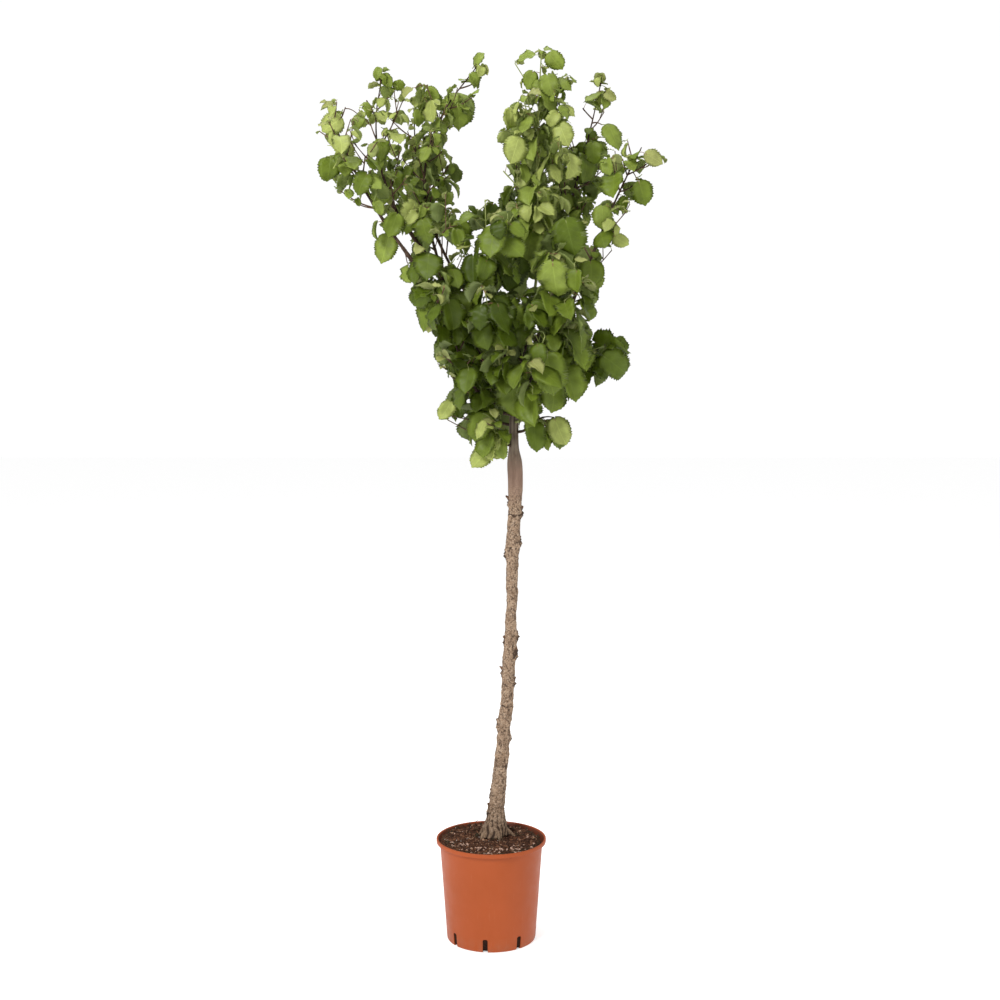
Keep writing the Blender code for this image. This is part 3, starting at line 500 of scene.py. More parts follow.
class Nodes:
    """A material, and short calls for building its nodes."""

    def __init__(self, name, roughness, **fixed):
        self.material = bpy.data.materials.new(name)
        self.material.use_nodes = True
        self.tree = self.material.node_tree
        self.shader = self.tree.nodes["Principled BSDF"]
        self.output = self.tree.nodes["Material Output"]
        self.shader.inputs["Roughness"].default_value = roughness
        for socket, value in fixed.items():
            self.shader.inputs[socket.replace("_", " ")].default_value = value

    def new(self, kind, **values):
        """A node, with its inputs or settings set by name."""
        node = self.tree.nodes.new(f"ShaderNode{kind}")
        for name, value in values.items():
            if hasattr(node, name):
                setattr(node, name, value)
            else:
                self.put(node.inputs[name.replace("_", " ")], value)
        return node

    def put(self, socket, value):
        if isinstance(value, bpy.types.NodeSocket):
            self.tree.links.new(value, socket)
        else:
            socket.default_value = value

    def place(self):
        return self.new("TexCoord").outputs["Object"]

    def scaled(self, vector, scale):
        mapping = self.new("Mapping", Scale=scale)
        self.put(mapping.inputs["Vector"], vector)
        return mapping.outputs["Vector"]

    def noise(self, vector, scale, detail=4.0, roughness=0.55):
        node = self.new("TexNoise", Vector=vector, Scale=scale, Detail=detail, Roughness=roughness)
        return node.outputs["Fac"]

    def cells(self, vector, scale):
        return self.new("TexVoronoi", Vector=vector, Scale=scale).outputs["Distance"]

    def math(self, operation, a, b=0.0):
        node = self.new("Math", operation=operation)
        self.put(node.inputs[0], a)
        self.put(node.inputs[1], b)
        return node.outputs[0]

    def times(self, a, b):
        return self.math("MULTIPLY", a, b)

    def plus(self, a, b):
        return self.math("ADD", a, b)

    def span(self, value, low, high, to_low=0.0, to_high=1.0):
        """The value taken from low..high to to_low..to_high, and held at the ends."""
        node = self.new("MapRange", Value=value, From_Min=low, From_Max=high, To_Min=to_low, To_Max=to_high)
        return node.outputs["Result"]

    def ramp(self, value, *stops):
        """A colour ramp through (place, colour) stops."""
        node = self.new("ValToRGB", Fac=value)
        elements = node.color_ramp.elements
        while len(elements) < len(stops):
            elements.new(1.0)
        for element, (place, colour) in zip(elements, stops):
            element.position = place
            element.color = (*colour, 1)
        return node.outputs["Color"]

    def mix(self, share, a, b):
        """Colour a turned to b by a share. A Mix node's sockets go by number, as names repeat."""
        node = self.new("Mix", data_type="RGBA")
        self.put(node.inputs[0], share)
        self.put(node.inputs[6], a if isinstance(a, bpy.types.NodeSocket) else (*a, 1))
        self.put(node.inputs[7], b if isinstance(b, bpy.types.NodeSocket) else (*b, 1))
        return node.outputs[2]

    def colour(self, value):
        self.put(self.shader.inputs["Base Color"], value)

    def roughness(self, value):
        self.put(self.shader.inputs["Roughness"], value)

    def bump(self, height, distance, strength=1.0):
        node = self.new("Bump", Height=height, Distance=distance, Strength=strength)
        self.put(self.shader.inputs["Normal"], node.outputs["Normal"])


def pot_plastic():
    """Terracotta-brown moulded polypropylene, a little scuffed, dusty at its foot, with painted shade on its
    inside wall.
    """
    m = Nodes("pot_plastic", 0.42, Specular_IOR_Level=0.22)
    place = m.place()
    cloud = m.noise(place, 9.0)
    base = m.ramp(cloud, (0.30, (0.325, 0.063, 0.012)), (0.70, (0.370, 0.074, 0.017)))
    scratches = m.span(m.noise(m.scaled(place, (60, 60, 4)), 5.0, 6.0, 0.7), 0.62, 0.72)
    base = m.mix(m.times(scratches, 0.10), base, (0.62, 0.30, 0.19))
    x, y, height = m.new("SeparateXYZ", Vector=place).outputs
    dust = m.times(m.span(height, 0.030, 0.0), m.span(m.noise(place, 60.0), 0.35, 0.75))
    base = m.mix(m.times(dust, 0.35), base, (0.27, 0.15, 0.09))
    round_out = m.math("SQRT", m.plus(m.times(x, x), m.times(y, y)))
    taper = m.times(height, (POT_TOP_RADIUS - POT_FOOT_RADIUS) / POT_HEIGHT)
    flared = POT_FLARE_RADIUS - POT_TOP_RADIUS + POT_WALL
    flare = m.span(height, POT_FLARE_FOOT, POT_HEIGHT, 0.0, flared)
    depth = m.math("SUBTRACT", m.plus(m.plus(taper, POT_FOOT_RADIUS), flare), round_out)
    # Painted shade: the inside wall below the rim's top is darkened to a near-black red.
    inner = m.times(m.span(depth, 0.0009, 0.0015), m.span(height, 0.010, 0.020))
    inner_wall_shade = m.times(inner, m.span(height, POT_HEIGHT - 0.0005, POT_HEIGHT - 0.0025))
    m.colour(m.mix(m.times(inner_wall_shade, 0.85), base, (0.085, 0.024, 0.012)))
    m.roughness(m.span(m.noise(place, 40.0), 0.3, 0.7, 0.42, 0.55))
    m.bump(m.noise(place, 900.0, 2.0), 0.0002, 0.25)
    return m.material


def soil_ground():
    """Dark crumbly compost."""
    m = Nodes("soil_ground", 0.95, Specular_IOR_Level=0.2)
    place = m.place()
    grain = m.noise(place, 260.0, 6.0, 0.7)
    crumb = m.cells(place, 330.0)
    deep, brown, dry = (0.018, 0.007, 0.004), (0.075, 0.029, 0.014), (0.215, 0.098, 0.050)
    base = m.ramp(grain, (0.32, deep), (0.52, brown), (0.74, dry))
    base = m.mix(m.span(crumb, 0.55, 0.95, 0.0, 0.7), base, (0.010, 0.005, 0.003))
    # Painted shade: lower down inside the pot the compost is darkened towards black.
    height = m.new("SeparateXYZ", Vector=place).outputs["Z"]
    m.colour(m.mix(m.span(height, 0.19, 0.10, 0.0, 0.75), base, (0.012, 0.004, 0.002)))
    m.bump(m.plus(grain, m.times(crumb, -0.5)), 0.002, 1.0)
    return m.material


def chip(name, dark, light, roughness):
    """Bits of bark, fibre or perlite in the compost."""
    m = Nodes(name, roughness, Specular_IOR_Level=0.25)
    place = m.place()
    grain = m.noise(m.scaled(place, (1, 1, 3)), 420.0, 4.0, 0.65)
    m.colour(m.ramp(grain, (0.30, dark), (0.70, light)))
    m.bump(grain, 0.0006, 0.8)
    return m.material


def trunk_bark():
    """Grey-brown, pored and cracked bark, smooth and pinkish over the graft and grey above it."""
    m = Nodes("trunk_bark", 0.85, Specular_IOR_Level=0.25)
    place = m.place()
    height = m.new("SeparateXYZ", Vector=place).outputs["Z"]
    relief = m.new("Attribute", attribute_name="relief").outputs["Fac"]
    blotch = m.noise(place, 45.0, 6.0, 0.65)
    dark, brown, light = (0.175, 0.108, 0.066), (0.290, 0.195, 0.126), (0.400, 0.285, 0.195)
    rough = m.ramp(blotch, (0.30, dark), (0.50, brown), (0.70, light))
    flecks = m.noise(m.scaled(place, (1, 1, 1.3)), 290.0, 3.0, 0.55)
    flecks = m.plus(flecks, m.times(m.noise(place, 70.0), 0.45))
    rough = m.mix(m.span(flecks, 0.71, 0.60, 0.0, 0.85), rough, (0.070, 0.041, 0.026))
    pale = m.noise(m.scaled(place, (1, 1, 1.8)), 340.0, 3.0, 0.6)
    rough = m.mix(m.span(pale, 0.56, 0.66, 0.0, 0.65), rough, (0.62, 0.49, 0.37))
    lean = m.scaled(place, (1, 1, 0.16))
    smooth = m.ramp(m.noise(lean, 150.0, 4.0), (0.30, (0.195, 0.120, 0.085)), (0.70, (0.290, 0.190, 0.140)))
    grey = m.ramp(m.noise(lean, 220.0, 4.0), (0.30, (0.125, 0.088, 0.064)), (0.70, (0.300, 0.240, 0.185)))
    edge = m.plus(height, m.times(m.noise(place, 60.0), 0.03))
    above = m.span(edge, GROUND + GRAFT - 0.015, GROUND + GRAFT + 0.030)
    head = m.span(edge, GROUND + HEAD_FOOT - 0.025, GROUND + HEAD_FOOT + 0.025)
    low = m.span(edge, GROUND + 0.075, GROUND + 0.015)
    base = m.mix(head, m.mix(above, rough, smooth), grey)
    base = m.mix(m.times(low, 0.60), base, (0.170, 0.108, 0.064))
    # Painted shade in the relief's hollows, cracks and knot rings, and a painted highlight on its ridges.
    hollow = m.span(relief, -0.10, -0.75, 0.0, 0.95)
    base = m.mix(hollow, base, (0.045, 0.026, 0.017))
    m.colour(m.mix(m.span(relief, 0.20, 0.8, 0.0, 0.30), base, (0.50, 0.40, 0.31)))
    fine = m.noise(place, 700.0, 4.0, 0.7)
    pores = m.span(flecks, 0.58, 0.72)
    m.bump(m.plus(m.times(fine, 0.5), pores), 0.0006, 0.7)
    return m.material


def dead_wood():
    """The dry, dark wood of pruned stubs."""
    m = Nodes("dead_wood", 0.9, Specular_IOR_Level=0.2)
    place = m.place()
    grain = m.noise(m.scaled(place, (1, 1, 0.4)), 300.0, 5.0, 0.65)
    dark, brown, dry = (0.050, 0.028, 0.017), (0.190, 0.105, 0.062), (0.36, 0.26, 0.19)
    m.colour(m.ramp(grain, (0.30, dark), (0.60, brown), (0.80, dry)))
    m.bump(grain, 0.0008, 0.9)
    return m.material


def shoot_bark(name, dark, light, roughness=0.8):
    """Young bark with fine lengthwise grain and pale lenticels."""
    m = Nodes(name, roughness, Specular_IOR_Level=0.2)
    place = m.place()
    streak = m.noise(m.scaled(place, (1, 1, 0.25)), 260.0, 4.0)
    base = m.ramp(streak, (0.30, dark), (0.72, light))
    spots = m.cells(place, 330.0)
    pale = tuple(min(1.0, c * 1.9 + 0.05) for c in light)
    m.colour(m.mix(m.span(spots, 0.10, 0.22, 0.5, 0.0), base, pale))
    m.bump(streak, 0.0003, 0.5)
    return m.material


def veins(m):
    """How near a point of a leaf is to its midrib or a side vein: 1 on it."""
    uv = m.new("SeparateXYZ", Vector=m.new("UVMap", uv_map="blade").outputs["UV"])
    across = m.math("ABSOLUTE", m.math("SUBTRACT", uv.outputs["X"], 0.5))
    along = m.math("SUBTRACT", uv.outputs["Y"], m.times(across, 0.75))
    saw = m.math("FRACT", m.plus(m.times(along, float(VEIN_PAIRS)), VEIN_START))
    off_side = m.math("ABSOLUTE", m.math("SUBTRACT", saw, 0.5))
    side = m.span(off_side, 0.0, 0.085, 1.0, 0.0)
    rib = m.span(across, 0.004, 0.022, 1.0, 0.0)
    return m.math("MAXIMUM", rib, m.times(side, 0.65))


def leaf_side(name, colour, vein_colour, roughness, upper):
    """One side of the leaves of one tint, with a little light shining through."""
    m = Nodes(name, roughness, Specular_IOR_Level=0.28 if upper else 0.16)
    place = m.place()
    vein = veins(m)
    blotch = m.noise(place, 55.0, 4.0, 0.6)
    dark = tuple(c * 0.78 for c in colour)
    light = tuple(c * 1.20 for c in colour)
    base = m.ramp(blotch, (0.30, dark), (0.70, light))
    base = m.mix(m.times(vein, 0.45), base, vein_colour)
    m.colour(base)
    quilt = m.math("SUBTRACT", m.times(m.noise(place, 500.0, 2.0), 0.25), vein)
    m.bump(quilt, 0.0006 if upper else -0.0006, 0.55)
    through = m.new("BsdfTranslucent", Color=m.mix(0.55, base, GLOW))
    both = m.new("MixShader", Fac=0.38)
    m.put(both.inputs[1], m.shader.outputs[0])
    m.put(both.inputs[2], through.outputs[0])
    m.put(m.output.inputs["Surface"], both.outputs[0])
    return m.material


# The tints of the leaves' upper sides, from the oldest leaves to the youngest. They also stand for painted
# shade and light: the masses in shade take the darker tints, and those in the light the lighter ones
TINTS = {
    "deep": (0.062, 0.094, 0.005),
    "dark": (0.116, 0.166, 0.014),
    "green": (0.174, 0.236, 0.026),
    "fresh": (0.284, 0.360, 0.062),
    "bright": (0.478, 0.538, 0.152),
    "young": (0.400, 0.420, 0.140),
}
UNDERSIDE = (0.290, 0.330, 0.160)
GLOW = (0.440, 0.540, 0.040)  # what the light that shines through turns to


def leaf_materials(tint):
    """The materials of a tint's upper sides and undersides."""
    upper = TINTS[tint]
    under = tuple(0.55 * c + 0.45 * u for c, u in zip(upper, UNDERSIDE))
    light = tuple(c * 1.6 + 0.015 for c in upper)
    pale = tuple(c * 1.35 + 0.02 for c in under)
    return (
        leaf_side(f"leaf_{tint}_upper", upper, light, 0.42, True),
        leaf_side(f"leaf_{tint}_under", under, pale, 0.75, False),
    )


# ---------------------------------------------------------------- meshes and pieces


def place_object(name, data):
    """An object with this data, in the scene."""
    obj = bpy.data.objects.new(name, data)
    bpy.context.scene.collection.objects.link(obj)
    return obj


def mesh_of(name, points, faces, edges=()):
    mesh = bpy.data.meshes.new(name)
    mesh.from_pydata(points, edges, faces)
    return mesh


def finish_piece(obj, materials, replaces=()):
    """Colours a piece, lets it ride on the plant's body and hides the solids it stands for."""
    for material in materials:
        obj.data.materials.append(material)
    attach(obj, BODY)
    if replaces:
        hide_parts(*replaces)


def quads(grid):
    """The faces between neighbouring rows and columns of an array of point numbers."""
    corners = (grid[:-1, :-1], grid[:-1, 1:], grid[1:, 1:], grid[1:, :-1])
    return np.stack(corners, axis=-1).reshape(-1, 4)


def closed_rings(first, rings, sides):
    """The numbers of the points of closed rings, from first on, each ending where it starts."""
    grid = first + np.arange(rings * sides).reshape(rings, sides)
    return np.hstack([grid, grid[:, :1]])


def tube_faces(rings, sides):
    """The faces through rings of points, one after another, with the two ends."""
    foot = list(range(sides - 1, -1, -1))
    top = list(range((rings - 1) * sides, rings * sides))
    return quads(closed_rings(0, rings, sides)).tolist() + [foot, top]


def turns(sides):
    """The angles of so many points evenly round a circle."""
    return [k * math.tau / sides for k in range(sides)]


def array_of(points):
    return np.array([tuple(point) for point in points])


class Builder:
    """Gathers vertices and faces from many small shapes into one mesh."""

    def __init__(self):
        self.points, self.faces, self.slots, self.uvs, self.values = [], [], [], [], []
        self.count = 0

    def add(self, points, faces, slot=0, uvs=None, values=None):
        """Points as an (n, 3) array, faces as lists of their indices, uvs and values per point.

        The slot is one material's number for all faces, or a list with one for each.
        """
        number = len(points)
        self.points.append(np.asarray(points, np.float64))
        self.faces += [[i + self.count for i in face] for face in faces]
        self.slots += slot if isinstance(slot, list) else [slot] * len(faces)
        self.uvs.append(np.zeros((number, 2)) if uvs is None else uvs)
        self.values.append(np.zeros(number) if values is None else values)
        self.count += number

    def link(self, name, smooth=True, uv_name=None, value_name=None):
        """The mesh as an object in the scene, held to the solids' box."""
        points = np.clip(np.concatenate(self.points), np.array(CAD_LOW), np.array(CAD_HIGH))
        mesh = mesh_of(name, points.tolist(), self.faces)
        mesh.polygons.foreach_set("material_index", self.slots)
        mesh.polygons.foreach_set("use_smooth", [smooth] * len(self.faces))
        if uv_name:
            corners = np.empty(len(mesh.loops), np.int32)
            mesh.loops.foreach_get("vertex_index", corners)
            layer = mesh.uv_layers.new(name=uv_name)
            layer.data.foreach_set("uv", np.concatenate(self.uvs)[corners].ravel())
        if value_name:
            attribute = mesh.attributes.new(value_name, "FLOAT", "POINT")
            attribute.data.foreach_set("value", np.concatenate(self.values))
        return place_object(name, mesh)


def frames_along(path):
    """Two unit vectors across a path at each of its points, carried along without turning."""
    runs = np.gradient(path, axis=0)
    runs /= np.linalg.norm(runs, axis=1)[:, None]
    first = np.cross(runs[0], (0.0, 0.0, 1.0) if abs(runs[0][2]) < 0.9 else (1.0, 0.0, 0.0))
    first /= np.linalg.norm(first)
    a = [first]
    for run in runs[1:]:
        carried = a[-1] - run * a[-1].dot(run)
        a.append(carried / np.linalg.norm(carried))
    a = np.array(a)
    return a, np.cross(runs, a)


def add_tube(builder, path, radii, sides, slot=0, wobble=0.0, seed=0):
    """A tapering tube with closed ends, its radius varied by a share wobble."""
    path = np.asarray(path, float)
    a, b = frames_along(path)
    angles = np.arange(sides) * math.tau / sides
    radii = np.asarray(radii, float)[:, None, None]
    if wobble:
        rng = np.random.default_rng(seed)
        radii = radii * (1 + wobble * rng.uniform(-1, 1, (len(path), sides, 1)))
    ring = np.cos(angles)[None, :, None] * a[:, None, :] + np.sin(angles)[None, :, None] * b[:, None, :]
    points = path[:, None, :] + ring * radii
    builder.add(points.reshape(-1, 3), tube_faces(len(path), sides), slot)


def spline(points, shares):
    """Places on a smooth curve through points, at shares of its length counted in points."""
    points = array_of(points)
    first = 2 * points[0] - points[1]
    last = 2 * points[-1] - points[-2]
    knots = np.concatenate([[first], points, [last]])
    places = np.clip(np.asarray(shares, float), 0, 1) * (len(points) - 1)
    i = np.minimum(places.astype(int), len(points) - 2)
    t = (places - i)[:, None]
    p0, p1, p2, p3 = knots[i], knots[i + 1], knots[i + 2], knots[i + 3]
    return 0.5 * (
        2 * p1 + (p2 - p0) * t + (2 * p0 - 5 * p1 + 4 * p2 - p3) * t**2 + (3 * p1 - p0 - 3 * p2 + p3) * t**3
    )


# ---------------------------------------------------------------- pot


def arc(centre, radius, start, end, steps):
    """(radius, height) points of an arc, between angles in degrees."""
    angles = [math.radians(start + (end - start) * i / steps) for i in range(steps + 1)]
    return [(centre[0] + radius * math.cos(a), centre[1] + radius * math.sin(a)) for a in angles]


def wall_radius(height):
    """The pot wall's outer radius at a height."""
    return POT_FOOT_RADIUS + (POT_TOP_RADIUS - POT_FOOT_RADIUS) * height / POT_HEIGHT


def pot_profile():
    """The (radius, height) points of half the pot's section, from the middle of its floor."""
    lip_foot, lip = POT_HEIGHT - POT_LIP_HEIGHT, POT_LIP_ROUNDING
    foot, fillet = POT_FOOT_ROUNDING, POT_LIP_FILLET
    ring_foot, ring_top = POT_BASE_RING
    return [
        (0, POT_FLOOR),
        (wall_radius(POT_FLOOR) - POT_WALL, POT_FLOOR),
        (wall_radius(POT_FLARE_FOOT) - POT_WALL, POT_FLARE_FOOT),
        *arc((POT_FLARE_RADIUS + lip, POT_HEIGHT - lip), lip, 160, 90, 6),
        *arc((POT_LIP_RADIUS - lip, POT_HEIGHT - lip), lip, 90, 0, 6),
        *arc((POT_LIP_RADIUS - lip, lip_foot + lip), lip, 0, -90, 6),
        *arc((wall_radius(lip_foot) + fillet, lip_foot - fillet), fillet, 90, 180, 3),
        *arc((wall_radius(foot) - foot, foot), foot, 0, -90, 5),
        (POT_FOOT_RADIUS - ring_foot, 0.0),
        (POT_FOOT_RADIUS - ring_top, POT_BASE_RISE),
        (0, POT_BASE_RISE),
    ]


def slot_cutter(angle):
    """A block, rounded along its length, that cuts one drain slot through the pot's corner."""
    bm = bmesh.new()
    bmesh.ops.create_cube(bm, size=1)
    bmesh.ops.scale(bm, vec=(2 * SLOT_DEPTH, SLOT_WIDTH, 2 * SLOT_HEIGHT), verts=bm.verts)
    level = [edge for edge in bm.edges if abs((edge.verts[0].co - edge.verts[1].co).x) > SLOT_DEPTH]
    bmesh.ops.bevel(bm, geom=level, offset=SLOT_ROUNDING, segments=3, affect="EDGES")
    mesh = bpy.data.meshes.new("slot")
    bm.to_mesh(mesh)
    bm.free()
    cutter = place_object("slot", mesh)
    outward = Vector((math.cos(angle), math.sin(angle), 0))
    cutter.matrix_world = Matrix.Translation(outward * POT_FOOT_RADIUS) @ Matrix.Rotation(angle, 4, "Z")
    return cutter


def make_pot(material):
    """The pot, turned from its profile, with its drain slots cut."""
    profile = pot_profile()
    edges = [(i, i + 1) for i in range(len(profile) - 1)]
    pot = place_object("pot_moulded", mesh_of("pot_moulded", [(r, 0, z) for r, z in profile], [], edges))
    screw = pot.modifiers.new("Turn", "SCREW")
    screw.steps = screw.render_steps = POT_SIDES
    screw.use_merge_vertices = True
    screw.merge_threshold = 0.0001
    cutters = [slot_cutter(SLOT_TURN + angle) for angle in turns(SLOT_COUNT)]
    for cutter in cutters:
        cut = pot.modifiers.new("Slot", "BOOLEAN")
        cut.operation = "DIFFERENCE"
        cut.object = cutter
    graph = bpy.context.evaluated_depsgraph_get()
    pot.data = bpy.data.meshes.new_from_object(pot.evaluated_get(graph))
    pot.modifiers.clear()
    for cutter in cutters:
        bpy.data.objects.remove(cutter)
    pot.data.shade_smooth()
    pot.data.set_sharp_from_angle(angle=POT_CREASE)
    finish_piece(pot, [material], ["pot"])


# ---------------------------------------------------------------- soil


def soil_height(x, y):
    """The compost's top, mounded to the trunk and rough all over."""
    edge = wall_radius(SOIL_EDGE) - POT_WALL
    fall = max(0.0, (math.hypot(x, y) - SOIL_FLAT_RADIUS) / (edge - SOIL_FLAT_RADIUS))
    height = SOIL_TOP - (SOIL_TOP - SOIL_DRAWN_EDGE) * fall**1.2
    height += SOIL_DISH * (abs(y) / edge - 1) - SOIL_TILT * x
    place = Vector((x, y, 0.0))
    return height + sum(noise.noise(place * fineness) * lump for fineness, lump in SOIL_LUMPS)


def make_soil(material):
    """The compost as one closed body, its top a fine grid of rings."""
    points = [(0.0, 0.0, soil_height(0, 0))]
    for i in range(1, SOIL_RINGS + 1):
        radius = SOIL_DRAWN_RADIUS * i / SOIL_RINGS
        for angle in turns(SOIL_SIDES):
            x, y = radius * math.cos(angle), radius * math.sin(angle)
            points.append((x, y, soil_height(x, y)))
    for height in SOIL_BODY_HEIGHTS:
        radius = wall_radius(height) - POT_WALL - GAP
        points += [(radius * math.cos(a), radius * math.sin(a), height) for a in turns(SOIL_SIDES)]
    points.append((0.0, 0.0, SOIL_BODY_HEIGHTS[-1]))
    rings = closed_rings(1, SOIL_RINGS + len(SOIL_BODY_HEIGHTS), SOIL_SIDES)
    faces = [(0, a, b) for a, b in zip(rings[0], rings[0][1:])]
    faces += quads(rings)[:, [0, 3, 2, 1]].tolist()
    faces += [(len(points) - 1, b, a) for a, b in zip(rings[-1], rings[-1][1:])]
    builder = Builder()
    builder.add(points, faces)
    finish_piece(builder.link("soil_ground"), [material], ["soil"])


def add_bit(builder, rng, place, size, flat):
    """A rough bit of bark or perlite: a small ball of faces, squashed and pushed about."""
    bm = bmesh.new()
    bmesh.ops.create_icosphere(bm, subdivisions=1, radius=1)
    points = np.array([v.co for v in bm.verts])
    faces = [[v.index for v in f.verts] for f in bm.faces]
    bm.free()
    points *= rng.uniform(0.65, 1.25, (len(points), 1))
    points *= np.array([size, size * rng.uniform(0.35, 0.8), size * flat])
    spin = Matrix.Rotation(rng.uniform(0, math.tau), 3, "Z") @ Matrix.Rotation(rng.normal(0, 0.5), 3, "X")
    spin = spin @ Matrix.Rotation(rng.normal(0, 0.4), 3, "Y")
    builder.add(points @ np.array(spin.transposed()) + np.array(place), faces)


# Bits in the compost: (number, sizes, flatness, how high they lie, whether at the front rim)
BITS = {
    "chips_dark": (520, (0.0016, 0.0050), 0.45, 0.0009, False),
    "chips_brown": (460, (0.0014, 0.0048), 0.40, 0.0010, False),
    "chips_tan": (170, (0.0012, 0.0040), 0.35, 0.0012, False),
    "chips_pale": (95, (0.0014, 0.0044), 0.42, 0.0018, True),
    "perlite": (45, (0.0009, 0.0024), 0.75, 0.0010, False),
}
BITS_CLEARANCE = 0.003  # from the pot's wall
RIM_SPREAD = 0.75  # of the bits at the front rim, in radians
FIBRES = 150
FIBRE_LENGTHS = (0.006, 0.014)
FIBRE_RADIUS = 0.0006
FIBRES_ROUND_TRUNK = (0.034, 0.020)  # the nearest that a third of them lie, and how far on

# Their materials: (name, dark, light, roughness)
BIT_LOOKS = {
    "chips_dark": ("chip_dark", (0.022, 0.009, 0.005), (0.080, 0.034, 0.017), 0.9),
    "chips_brown": ("chip_brown", (0.085, 0.034, 0.016), (0.215, 0.098, 0.050), 0.9),
    "chips_tan": ("chip_tan", (0.200, 0.105, 0.060), (0.430, 0.270, 0.175), 0.9),
    "chips_pale": ("chip_pale", (0.290, 0.160, 0.110), (0.620, 0.430, 0.340), 0.9),
    "fibres": ("fibre_dark", (0.020, 0.018, 0.010), (0.070, 0.055, 0.028), 0.9),
    "perlite": ("perlite_white", (0.430, 0.340, 0.290), (0.780, 0.700, 0.640), 0.8),
}


def make_chips(reach):
    """Bits of bark and perlite in the compost, as far out as reach, each kind as one piece."""
    trunk_x, trunk_y, trunk_radius = TRUNK[0][1:]
    for number, (name, (count, (small, large), flat, lift, front)) in enumerate(BITS.items()):
        rng = np.random.default_rng(CHIP_SEED + number)
        builder = Builder()
        while count:
            radius, angle = reach * math.sqrt(rng.uniform(0.55 if front else 0, 1)), rng.uniform(0, math.tau)
            if front:
                angle = rng.normal(-math.pi / 2, RIM_SPREAD)
            x, y = radius * math.cos(angle), radius * math.sin(angle)
            size = small + (large - small) * rng.uniform(0, 1) ** 2
            if math.hypot(x - trunk_x, y - trunk_y) < trunk_radius + size or radius + size > reach:
                continue
            add_bit(builder, rng, (x, y, soil_height(x, y) + lift), size, flat)
            count -= 1
        finish_piece(builder.link(name, smooth=False), [chip(*BIT_LOOKS[name])])


def make_fibres(reach):
    """Fibres in the compost, one in three near the trunk and the others along the wall."""
    trunk_x, trunk_y, _ = TRUNK[0][1:]
    near, on = FIBRES_ROUND_TRUNK
    rng = np.random.default_rng(FIBRE_SEED)
    fibres = Builder()
    for i in range(FIBRES):
        at_wall = i % 3 > 0
        angle = rng.uniform(0, math.tau)
        radius = reach * rng.uniform(0.93, 0.99) if at_wall else near + on * rng.uniform(0, 1)
        start = np.array([radius * math.cos(angle), radius * math.sin(angle), 0.0])
        if not at_wall:
            start += (trunk_x, trunk_y, 0.0)
        start[2] = soil_height(*start[:2])
        turn, length = rng.uniform(0, math.tau), rng.uniform(*FIBRE_LENGTHS)
        onward = np.array([math.cos(turn), math.sin(turn), rng.uniform(-0.1, 0.7)]) * length
        middle = start + onward * 0.5 + (0, 0, 0.25 * length)
        end = start + onward
        end[:2] *= min(1.0, reach / math.hypot(*end[:2]))
        add_tube(fibres, spline([start, middle, end], np.linspace(0, 1, 6)), [FIBRE_RADIUS] * 6, 4)
    finish_piece(fibres.link("fibres"), [chip(*BIT_LOOKS["fibres"])])


# ---------------------------------------------------------------- trunk


def trunk_at(height):
    """The trunk's axis point and radius at a height above the ground, as in the source."""
    for (low, *low_rest), (high, *high_rest) in zip(TRUNK, TRUNK[1:]):
        if height <= high:
            share = max(0.0, (height - low) / (high - low))
            x, y, radius = (a + (b - a) * share for a, b in zip(low_rest, high_rest))
            return Vector((x, y, GROUND + height)), radius
    top, x, y, radius = TRUNK[-1]
    return Vector((x, y, GROUND + top)), radius


def root_angle(index):
    return index * math.tau / ROOT_COUNT + 0.35 * math.sin(5.0 * index)


def turn_between(a, b):
    """The angle from a to b, between -pi and pi."""
    return (b - a + math.pi) % math.tau - math.pi


def bell(distance, width):
    """1 in the middle, and falling off smoothly over a width to each side."""
    return math.exp(-((distance / width) ** 2))


def grain_relief(place, height):
    """Pores and fissures up to the graft, and fine lengthwise grain above it."""
    rough = min(1.0, max(0.0, (GRAFT + 0.01 - height) / 0.03))
    out = (1 - rough) * SMOOTH_GRAIN * noise.noise(place * Vector((160, 160, 22)))
    tone = 0.0
    for fineness, depth, shade in BARK_GRAIN:
        grain = rough * noise.noise(place * Vector((1, 1, 0.75)) * fineness + UP * (fineness / 7))
        out += depth * grain
        tone += shade * grain
    return out, tone


def crack_relief(height, angle, number):
    """One crack that rings the trunk, in a slight swelling."""
    crack = height - RING_CRACKS[number]
    wander = 0.0012 * math.sin(2 * angle + number) + 0.0008 * math.sin(5 * angle)
    near = bell(crack - wander, CRACK_WIDTH)
    return CRACK_SWELL * bell(crack, CRACK_SWELL_WIDTH) - CRACK_DEPTH * near, -CRACK_TONE * near


def root_relief(place, height, angle):
    """The flare into the surface roots, and the ridges between them."""
    lobes = sum(bell(turn_between(root_angle(i), angle), FLARE_WIDTH) for i in range(ROOT_COUNT))
    ridges = math.exp(-height / RIDGE_HEIGHT)
    wave = math.sin(RIDGES * angle + 4 * noise.noise(place * 50))
    out = FLARE_DEPTH * math.exp(-height / FLARE_HEIGHT) * lobes + RIDGE_DEPTH * ridges * wave
    return out, -RIDGE_TONE * min(1.0, ridges * 1.4) * max(0.0, -wave - 0.1)


def strand_relief(height, angle):
    """The lengthwise strands of the wood under the head."""
    share = min(1.0, max(0.0, height - HEAD_FOOT) / HEAD_RISE)
    groove = abs(math.sin(STRANDS * angle + 0.6 + 2.0 * height))
    out = STRAND_DEPTH * share * (groove - 0.6)
    return out, -STRAND_TONE * share * max(0.0, 0.45 - groove) / 0.45


def knot_relief(height, angle, radius, lump, knot):
    """The swelling round one stub, and the dark ring of painted shade at its foot, both uneven by lump."""
    at, azimuth, _, size = knot
    rise = (height - at) / (size * (KNOT_ABOVE if height > at else KNOT_BELOW))
    side = turn_between(math.radians(azimuth), angle) * radius / (size * KNOT_ASIDE)
    away = math.hypot(rise, side)
    if away > 3:
        return 0.0, 0.0
    return (0.85 + 0.8 * lump) * size * bell(away, 1), -(0.75 + 2.2 * lump) * bell(away - 0.55, 0.35)


